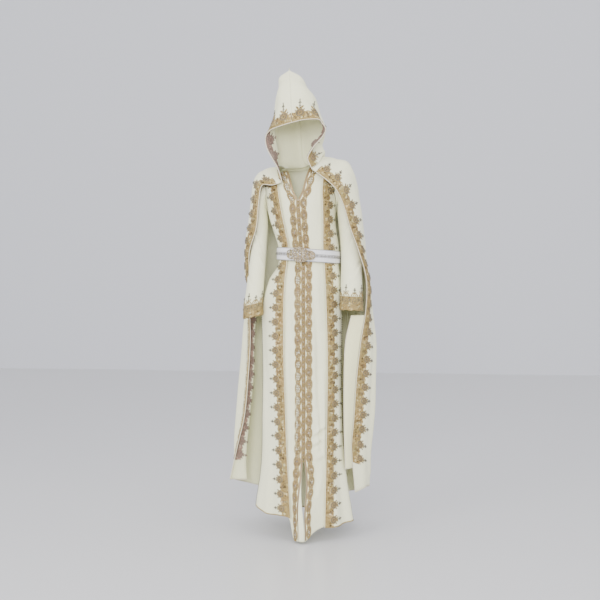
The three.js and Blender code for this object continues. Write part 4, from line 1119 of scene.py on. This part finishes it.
def fading(first_edge, last_edge):
    """Zero at a panel's edges; each edge has where the creases start and how soon they are full."""
    (skip_a, over_a), (skip_b, over_b) = first_edge, last_edge
    return lambda u, v: ease((u - skip_a) / over_a) * ease((u[:, -1:] - u - skip_b) / over_b) * ease(v / 20)


EDGE, SEAM = (4, 40), (0, 20)
FADES = {"right": fading(EDGE, SEAM), "back": fading(SEAM, SEAM), "left": fading(SEAM, EDGE)}
cape = {}
for name, (first, last, cols, seed) in WIDTHS.items():
    g = cape_grid(first, last, int(cols * FINE), CAPE_ROWS_FINE)
    cape[name] = creased(g, CAPE_MARKS[name] + hanging(g), 1.2, seed, FADES[name])
    cloth(f"cape_{name}_cloth", cape[name], IVORY, f"cape_{name}")

# %% [markdown]
# Below the hand the cape's right front edge is turned in, and its plain border shows its warmer wrong side. It is a
# strip of its own from the cape's edge to the line where the turned cloth ends.

# %% Turned-in border
BORDER_TOP, BORDER_FOOT, BORDER_COLS = 862, 268, 12
edge_z = cape["right"][:, 0, 2]
drop = np.linspace(BORDER_TOP, BORDER_FOOT, int(90 * FINE))
inner = np.stack([read(FACING["z"], FACING["x"], drop), read(FACING["z"], FACING["y"], drop), drop], -1)
outer = np.stack([np.interp(-drop, -edge_z, cape["right"][:, 0, k]) for k in range(3)], -1)
gap = (inner - outer) / np.linalg.norm(inner - outer, axis=1, keepdims=True)
outer = outer + gap * 2.4  # it starts just clear of the cape's own edge
t = np.linspace(0, 1, BORDER_COLS)[None, :, None]
border = inner[:, None] * (1 - t) + outer[:, None] * t
border[..., 1] -= 5 * np.sin(math.pi * t[..., 0])
border[:, :, 1] += 1.2 * np.sin(border[:, :, 2] / 60) * (1 - t[..., 0])
cloth("cape_front_border_cloth", border, IVORY_WARM, "cape_front_border")

# %% [markdown]
# The hood is cut as two halves with one seam over the point and down the back. It stands empty, so the point leans a
# little, the left side sits fuller than the right, and the cheek sinks. The halves are drawn apart and then joined:
# easing the rows beside the seam turns the ridge where they meet into one soft curve, as pressed cloth lies.

# %% Join the hood's halves
TIP_Z, STRAIGHT_Z = 1829, 1740  # the point's height, and the level above which it is drawn up


def closed_seam(first, second, rounds=24, reach=9):
    """Two grids that meet along their first rows, joined there and eased to one soft curve."""
    both = np.concatenate([second[::-1][:-1], (first[:1] + second[:1]) / 2, first[1:]])
    at = len(second) - 1
    w = bump((np.arange(len(both)) - at) / reach)[1:-1, None, None]
    for _ in range(rounds):
        both[1:-1] += w * 0.5 * ((both[:-2] + both[2:]) / 2 - both[1:-1])
    return both[at:], both[: at + 1][::-1]


drawn = {side: hood_grid(side, int(64 * FINE), int(90 * FINE)) for side in ("right", "left")}
front_joined = closed_seam(drawn["right"], drawn["left"][:, ::-1])
back_joined = closed_seam(*(h[:, ::-1].transpose(1, 0, 2) for h in front_joined))
halves = [h.transpose(1, 0, 2)[:, ::-1] for h in back_joined]
tip_now = max(h[..., 2].max() for h in halves)
for h in halves:  # the easing draws the point down, so it is drawn up again
    h[..., 2] += np.clip((h[..., 2] - STRAIGHT_Z) / (tip_now - STRAIGHT_Z), 0, 1) * (TIP_Z - tip_now)
print("the point was eased down to", round(float(tip_now)), "mm and drawn up to", TIP_Z, "mm")

# %% Hood
HOOD_MARKS = {
    "right": [(120, 20, 60, 120, 10, -1.6), (150, 60, 90, 190, 12, 1.6)],
    "left": [(90, 30, 150, 140, 12, -1.8), (70, 90, 120, 230, 12, 1.6)],
}
soft = lambda u, v: ease(u / 25) * ease((u[:, -1:] - u) / 25) * ease(v / 15)
hood = {}
for side, g in (("right", halves[0]), ("left", halves[1][:, ::-1])):
    hood[side] = creased(g, HOOD_MARKS[side], 0.5, 51 + len(side), soft)
    cloth(f"hood_{side}_cloth", hood[side], IVORY, f"hood_{side}")

# %% [markdown]
# Borders. Each one is laid on the cloth it is sewn to, from that cloth's own points. The cape's borders show their
# dull reverse on the inner face too, where the thread ends are.

# %% Embroidered borders
DULL = (REVERSE, REVERSE, REVERSE_CORD, REVERSE_CORD, REVERSE_CORD)
GOWN_BORDER = {"pitch": 56, "r": 13.5, "mid": 35}
CAPE_BORDER = {"pitch": 55, "r": 14, "mid": 39}
HOOD_BORDER = {"pitch": 60, "r": 17, "mid": 33}
GOWN_FINIAL = {"right": 28, "left": 20}
CAPE_BORDER_END = {"right": 1235, "left": 1215}
REVERSE_FULL = {"right": 5, "left": 13}  # the left edge turns outward and shows more of its wrong side
for side in ("right", "left"):
    flip = side == "left"
    g = gown[side]
    band = Band(g, normals(g), flip, start=6, deep=96)
    embroider(f"gown_band_{side}", band, tall=GOWN_FINIAL[side], stands_for=[f"gown_band_{side}"], **GOWN_BORDER)
    g = cape[side]
    band = Band(g, normals(g), flip, start=20, end=CAPE_BORDER_END[side], deep=110)
    embroider(f"cape_band_{side}", band, tall=25, stands_for=[f"cape_band_{side}"], **CAPE_BORDER)
    wrong_side = {"out": -1, "threads": DULL, "lift": 2.0}
    embroider(f"cape_reverse_{side}", band, tall=20, full=REVERSE_FULL[side], **wrong_side, **CAPE_BORDER)
    g = hood[side]
    band = Band(g, normals(g), flip, deep=110)
    embroider(f"hood_band_{side}", band, tall=46, stands_for=[f"hood_band_{side}"], lift=0.8, full=10, **HOOD_BORDER)
    embroider(f"hood_reverse_{side}", band, tall=24, **wrong_side, **HOOD_BORDER)

# %% [markdown]
# The placket. On each side of the button row lies a braid of joined ovals, and between them a row of small round
# knots, each with its pair of loops.

# %% Placket braids
BUTTON_HALF = 7.5  # half width of the button row
OVAL_PITCH = 47
OVAL_WIDE = {"right": 24, "left": 25}


def oval_braid(name, band, pitch, wide, stands_for):
    """A chain of long worked ovals beside the button row."""
    count = round(band.length / pitch)
    pitch = band.length / count
    mid, half = BUTTON_HALF + 1.5 + wide / 2, wide / 2
    oval = arc(0, mid, pitch * 0.49, half, 0, 360, 23)
    ring = arc(0, mid, pitch * 0.36, half * 0.66, 0, 360, 19)
    leaves = []
    for a in np.arange(0, 6.2, math.pi / 3):
        reach = 7.5 + 6 * abs(math.cos(a))  # longest along the oval
        start = (pitch * 0.1 * math.cos(a), mid + half * 0.1 * math.sin(a))
        leaves.append(petal(*start, reach, 2.6, math.degrees(a)))
    link = [petal(pitch / 2, mid - half * 0.1 * k, 11, 6.0, 90 * k) for k in (-1, 1)]
    filled, gold, dark, dots = [], [], [], []
    for k in range(count):
        c = (k + 0.5) * pitch
        filled += [band.at(c + shape[:, 0], shape[:, 1], 0.5)[0] for shape in (oval, *link)]
        gold += lay(band, [(oval, 1.7)] + [(x, 1.0) for x in link], c, 0.7)
        dark += lay(band, [(ring, 1.3)] + [(x, 0.9) for x in leaves], c, 0.7)
        dots += lay_dots(band, [(0, mid, 2.2), (-pitch / 2, mid, 1.8)], c, 0.7)
    fans(name + "_ground", filled, FILL, stands_for)
    strips(name + "_cords", gold, CORD)
    strips(name + "_rings", dark, BROWN)
    beads(name + "_beads", dots, STONE)
    print(f"{name}: {count} ovals of {pitch:.1f} mm")


for side, wide in OVAL_WIDE.items():
    g = dress[side]
    band = Band(g, normals(g), side == "left", start=8, deep=70)
    if side == "left":  # at the foot the left braid leaves its edge, and a plain strip opens beside it
        band.veer = 22 * ease((250 - band.table[:, 0, 2]) / 190)
    oval_braid("placket_braid_" + side, band, OVAL_PITCH, wide, ["placket_braid_" + side])
    fans("button_ground_" + side, worked_strip(band, lambda s: BUTTON_HALF, 0.4, 4.0, 0.2, 1), BROWN)

# %% [markdown]
# The buttons are knots of the same gold cord, worked over a core and set so close that they nearly touch. Each one
# has a loop on either side. They stay done up: undoing one would need the cloth to change its shape.

# %% Button knots and loops
KNOT_STEP, KNOT_R = 8.5, 2.9
KNOT_OUT = 2.8  # a knot's middle stands this far off the dress
rows_z = dress["right"][:, 0, 2]
middle = (dress["right"][:, 0] + dress["left"][:, -1]) / 2
out_n = normals(dress["right"])[:, 0]
across, upward = np.array([1.0, 0, 0]), np.array([0, 0, 1])
half_turn = np.linspace(0, math.pi, 6)
knots, loops = [], []
for z in np.arange(1300, 300, -KNOT_STEP):
    i = int(np.argmin(np.abs(rows_z - z)))
    n = out_n[i]
    p = middle[i] + n * KNOT_OUT
    knots.append((p, KNOT_R))
    for sgn in (-1, 1):
        reach, rise = (1.5 + 5.6 * np.sin(half_turn))[:, None], (2.7 * np.cos(half_turn))[:, None]
        path = p - n * 1.7 + across * sgn * reach + upward * rise
        loops.append((path, np.tile(n, (6, 1)), 0.9, 1.0))
beads("button_knots", knots, CORD, stands_for=["button_row"])
strips("button_loops", loops, CORD)
print("buttons", len(knots))

# %% [markdown]
# Cords and pipings finish the edges: a gold cord round the gown's hem, a row of dark beads down each side slit, and a
# fine ivory piping along the edges of the gown, cape and hood. A curve with a round bevel could make them too; a ring
# swept along the edge's own points gives one light mesh for several lines.

# %% Round cords
CORD_SIDES = 6


def round_cord(name, lines, radius, material, stands_for=None):
    """Round cords along lines of points."""
    verts, faces, uvs, base = [], [], [], 0
    for line in lines:
        along = np.gradient(line, axis=0)
        along /= np.linalg.norm(along, axis=1, keepdims=True) + 1e-9
        ref = np.array([0.0, 0, 1]) if abs(along[len(along) // 2, 2]) < 0.7 else np.array([0.0, 1, 0])
        a = np.cross(along, ref)
        a /= np.linalg.norm(a, axis=1, keepdims=True) + 1e-9
        b = np.cross(along, a)
        w = np.arange(CORD_SIDES) * 2 * math.pi / CORD_SIDES
        ring = line[:, None] + radius * (np.cos(w)[None, :, None] * a[:, None] + np.sin(w)[None, :, None] * b[:, None])
        length = np.r_[0, np.cumsum(np.linalg.norm(np.diff(line, axis=0), axis=1))]
        verts.append(ring.reshape(-1, 3))
        uvs.append(np.stack([np.tile(w * radius, len(line)), np.repeat(length, CORD_SIDES)], -1))
        r, c = np.meshgrid(np.arange(len(line) - 1), np.arange(CORD_SIDES), indexing="ij")
        i, j = (r * CORD_SIDES + c).ravel(), (r * CORD_SIDES + (c + 1) % CORD_SIDES).ravel()
        faces.append(np.stack([i, j, j + CORD_SIDES, i + CORD_SIDES], -1) + base)
        base += len(line) * CORD_SIDES
    o = mesh_piece(name, np.concatenate(verts), np.concatenate(faces), np.concatenate(uvs), material)
    metres = sum(float(np.linalg.norm(np.diff(line, axis=0), axis=1).sum()) for line in lines) / 1000
    print(f"{name}: {len(lines)} lines, {metres:.2f} m of cord")
    if stands_for:
        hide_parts(*stands_for)
    return o


# %% Edge cords and slit beads
BEAD_STEP, BEAD_R = 9.0, 3.0
HEM_UP = np.array([0, 0, 1.0])  # the cord's middle lies just above the raw edge
for part in ("right", "left", "back"):
    round_cord("gown_hem_" + part, [gown[part][-1] + HEM_UP], 2.2, CORD, ["gown_hem_cord_" + part])
split = int(np.argmin(np.abs(gown["right"][:, -1, 2] - SIDE_SLIT_TOP_Z)))
for side, column in (("right", -1), ("left", 0)):
    line = gown[side][split:, column] + normals(gown[side])[split:, column] * 1.2
    s = np.r_[0, np.cumsum(np.linalg.norm(np.diff(line, axis=0), axis=1))]
    places = np.stack([np.interp(np.arange(0, s[-1], BEAD_STEP), s, line[:, k]) for k in range(3)], -1)
    beads("slit_beads_" + side, [(p, BEAD_R) for p in places], BEAD, stands_for=["slit_trim_" + side])
neck_rows = ROWS // 8 + 6
cape_edges = [cape["right"][:, 0], cape["left"][:, -1]]
cape_hems = [cape[k][-1] for k in ("right", "back", "left")]
round_cord("gown_edge_cords", [gown["right"][:, 0], gown["left"][:, -1]], 1.5, PIPING)
round_cord("neck_cords", [dress["right"][:neck_rows, 0], dress["left"][:neck_rows, -1]], 1.6, CORD)
round_cord("cape_piping", cape_edges + cape_hems + [border[-1], border[:, 0]], 1.7, PIPING)
round_cord("hood_piping", [hood["right"][:, 0], hood["left"][:, -1]], 1.9, PIPING)

# %% [markdown]
# The belt is a stiff satin band with a beaded line along its middle, closed in front by a lobed oval plate of
# filigree set with clear stones. It follows the gown's own tube a little way out, so it grips the waist all round.

# %% Belt band and its bead line
WAIST_Z, BELT_Z, BELT_TILT, BELT_MIDDLE = 1098.0, 1095, 0.066, 22
BELT_HALF = 25


def belt_point(deg, dz, out):
    """A place on the belt: an angle round the waist, a height from its middle and a distance out from the gown."""
    p = tube(deg, np.full(np.shape(deg), WAIST_Z), -out)
    p[..., 2] = BELT_Z - BELT_TILT * (p[..., 0] - BELT_MIDDLE) + dz
    return p


def bulge(dz):
    """The band is a little fuller along its middle than at its edges."""
    return 6.2 + 1.2 * (1 - (dz / BELT_HALF) ** 2)


deg = np.linspace(0, 360, 145)
belt_grid = np.array([belt_point(deg, dz, float(bulge(dz))) for dz in np.linspace(BELT_HALF, -BELT_HALF, 15)])
cloth("belt_satin_band", belt_grid, SATIN, "belt_band", 2.4)
round_cord("belt_piping", [belt_point(deg, dz, 6.4) for dz in (23.5, -23.5)], 1.2, SILVER)
line_deg = np.arange(14, 338, 1.9)
line_beads = [(p, 2.3 if k % 4 else 3.8) for k, p in enumerate(belt_point(line_deg, 0.0, 8.6))]  # each fourth is big
beads("belt_beads", line_beads, SILVER, stands_for=["belt_bead_line"])
round_cord("belt_line_cords", [belt_point(line_deg, dz, 8.0) for dz in (5.2, -5.2)], 0.9, SILVER)

# %% [markdown]
# The clasp is one plate, cast or cut, that hides a hook behind it. It stays fastened. Its outline is a tall middle
# with a lobe at each end, drawn as the plate's half height at each place along it, and it is domed towards its middle.

# %% Clasp plate
PLATE_DEG, PLATE_HALF, PLATE_HIGH = -8, 49, 30.6  # its middle round the waist, half its length and half its height
PLATE_ROWS, PLATE_COLS = 21, 41
LOBE_TALL, LOBE_AT, LOBE_HALF = 19, 0.62, 0.38
RIM_LEAST = 1.5
WAIST_ROUND = 108  # the waist's radius in front, to turn lengths into degrees


def plate_half_height(u):
    middle = PLATE_HIGH * math.sqrt(max(0.0, 1 - (u / 0.6) ** 2))
    lobe = LOBE_TALL * math.sqrt(max(0.0, 1 - ((abs(u) - LOBE_AT) / LOBE_HALF) ** 2))
    return max(RIM_LEAST, middle, lobe)


def plate_point(u, v):
    deg = np.array(PLATE_DEG + u * PLATE_HALF * 180 / (math.pi * WAIST_ROUND))
    place = belt_point(deg, v * plate_half_height(u), 12.6)
    place[1] -= 4.5 * (1 - u * u) * (1 - v * v)
    return place


plate = np.array([[plate_point(u, v) for u in np.linspace(-1, 1, PLATE_COLS)] for v in np.linspace(1, -1, PLATE_ROWS)])
plate_uv = np.stack([run(plate, 1), run(plate, 0)], -1).reshape(-1, 2)
o = mesh_piece("clasp_plate", plate, grid_faces(PLATE_ROWS, PLATE_COLS), plate_uv, PLATE)
solid = o.modifiers.new("plate_wall", "SOLIDIFY")
solid.thickness, solid.offset = 0.003, -1
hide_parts("belt_clasp")
print("clasp", 2 * PLATE_HALF, "mm long and", round(2 * plate_half_height(0)), "mm tall")

# %% Filigree and stones
plate_normals = normals(plate)


def on_plate(u, v, h):
    """A point of the plate: u and v from -1 to 1 within its outline."""
    i = np.clip((1 - np.asarray(v)) / 2 * (PLATE_ROWS - 1), 0, PLATE_ROWS - 1).round().astype(int)
    j = np.clip((np.asarray(u) + 1) / 2 * (PLATE_COLS - 1), 0, PLATE_COLS - 1).round().astype(int)
    return plate[i, j] + plate_normals[i, j] * np.reshape(h, (-1, 1)), plate_normals[i, j]


rim_u = np.r_[np.linspace(-0.97, 0.97, 40), np.linspace(0.97, -0.97, 40)]
rim_v = np.r_[np.full(40, 0.93), np.full(40, -0.93)]
paths = [(*on_plate(rim_u, rim_v, 0.2), 1.6, 2.0)]
a = np.linspace(0, 2 * math.pi, 33)
for r in (0.3, 0.52, 0.74):
    paths.append((*on_plate(r * np.cos(a), r * np.sin(a), 0.2), 1.0, 1.4))
w = np.linspace(0, 2 * math.pi, 9)
for a in 2 * math.pi * np.arange(12) / 12:
    u0, v0 = 0.42 * math.cos(a), 0.42 * math.sin(a)
    paths.append((*on_plate(u0 + 0.16 * np.cos(w), v0 + 0.2 * np.sin(w), 0.3), 0.8, 1.2))
strips("clasp_filigree", paths, CLASP)
stones = [(on_plate(np.array([0.0]), np.array([0.0]), 1.5)[0][0], 4.2)]
for r, count, size in ((0.3, 8, 1.9), (0.52, 12, 1.6), (0.74, 16, 1.7), (0.9, 20, 1.3)):
    for a in 2 * math.pi * np.arange(count) / count:
        stones.append((on_plate(np.array([r * math.cos(a)]), np.array([r * math.sin(a)]), 1.2)[0][0], size))
beads("clasp_stones", stones, STONE)
print("stones on the clasp", len(stones))

# %% [markdown]
# The room is only a pale floor and a pale wall far behind, a shade cooler than the cloth, so that ivory still reads
# as warm. The wall could stand close, but then it would hide the back from a camera behind it.

# %% Floor and wall
FLOOR_Z = -HELD_Z / 1000


def pale_plane(name, size, place, tilt, tones, scale, detail, rough):
    """A large stage plane with a faintly uneven tone."""
    bpy.ops.mesh.primitive_plane_add(size=size, location=place, rotation=(tilt, 0, 0))
    plane = bpy.context.object
    plane.name = "studio_" + name
    m, nodes, links, bsdf = new_material("pale_" + name)
    specks = put(nodes, links, "ShaderNodeTexNoise", {"Scale": scale, "Detail": detail}).outputs["Fac"]
    links.new(ramp(nodes, links, specks, [(0.3, tones[0]), (0.7, tones[1])]), bsdf.inputs["Base Color"])
    bsdf.inputs["Roughness"].default_value = rough
    plane.data.materials.append(m)


pale_plane("floor", 40, (0, -13, FLOOR_Z), 0, [(0.60, 0.59, 0.59), (0.66, 0.65, 0.65)], 3.0, 6.0, 0.35)
pale_plane("wall", 60, (0, 7.0, 0), math.pi / 2, [(0.70, 0.70, 0.73), (0.75, 0.75, 0.78)], 2.0, 5.0, 0.9)
print("floor at", FLOOR_Z, "m")

# %% [markdown]
# One broad light stands near the camera and one to the wearer's right, with two weak ones against hard shadows. The
# folds are shallow, so they need light from one side; an even light from all round would flatten them.

# %% Lights
def soft_light(name, place, target, size, watts):
    data = bpy.data.lights.new(name, "AREA")
    data.size, data.energy = size, watts
    o = bpy.data.objects.new(name, data)
    o.location = place
    o.rotation_euler = (Vector(target) - Vector(place)).to_track_quat("-Z", "Y").to_euler()
    bpy.context.scene.collection.objects.link(o)
    print(name, watts, "W")


soft_light("key_front", (0.3, -4.7, 0.5), (0, 0, -0.5), 1.6, 185)
soft_light("key_side", (-2.6, -3.4, 1.2), (0, 0, -0.5), 2.0, 75)
soft_light("fill_right", (2.8, -2.8, 0.6), (0, 0, -0.6), 2.4, 26)
soft_light("top", (0, -0.4, 2.4), (0, 0, -1), 3.0, 26)
world = bpy.data.worlds.new("studio")
bpy.context.scene.world = world
world.use_nodes = True
world.node_tree.nodes["Background"].inputs["Color"].default_value = (0.93, 0.95, 1.0, 1)
world.node_tree.nodes["Background"].inputs["Strength"].default_value = 1.55

# %% [markdown]
# The camera stands about four metres off at chest height, a few degrees round to the wearer's left. It looks level and
# is shifted, not tilted, so that upright lines stay upright.

# %% Camera
FAR, TO_THE_LEFT, EYE = 3.95, math.radians(8), 0.991  # metres, angle, metres above the floor
cam = bpy.data.objects.new("camera", bpy.data.cameras.new("camera"))
bpy.context.scene.collection.objects.link(cam)
cam.location = (FAR * math.sin(TO_THE_LEFT), -FAR * math.cos(TO_THE_LEFT), EYE + FLOOR_Z)
cam.rotation_euler = (math.pi / 2, 0, TO_THE_LEFT)
cam.data.lens, cam.data.sensor_width = 60, 36
cam.data.shift_x, cam.data.shift_y = -3 / 600, -18 / 600  # parts of the frame's width
cam.data.clip_end = 60
bpy.context.scene.camera = cam
print("camera", FAR, "m away, lens", cam.data.lens, "mm")

# %% [markdown]
# Last, the sizes. The finer cloth has to fill the same room as the solids that it stands for, and the triangles are
# counted on the finished walls.

# %% Sizes and finish
graph = bpy.context.evaluated_depsgraph_get()
triangles = {}
for n, o in made.items():
    mesh = o.evaluated_get(graph).to_mesh()  # the evaluated mesh holds both faces of each cloth wall
    triangles[n] = sum(len(p.vertices) - 2 for p in mesh.polygons)
    o.evaluated_get(graph).to_mesh_clear()
largest = max(triangles, key=triangles.get)
print("pieces", len(made), "triangles", sum(triangles.values()), "largest", largest, triangles[largest])
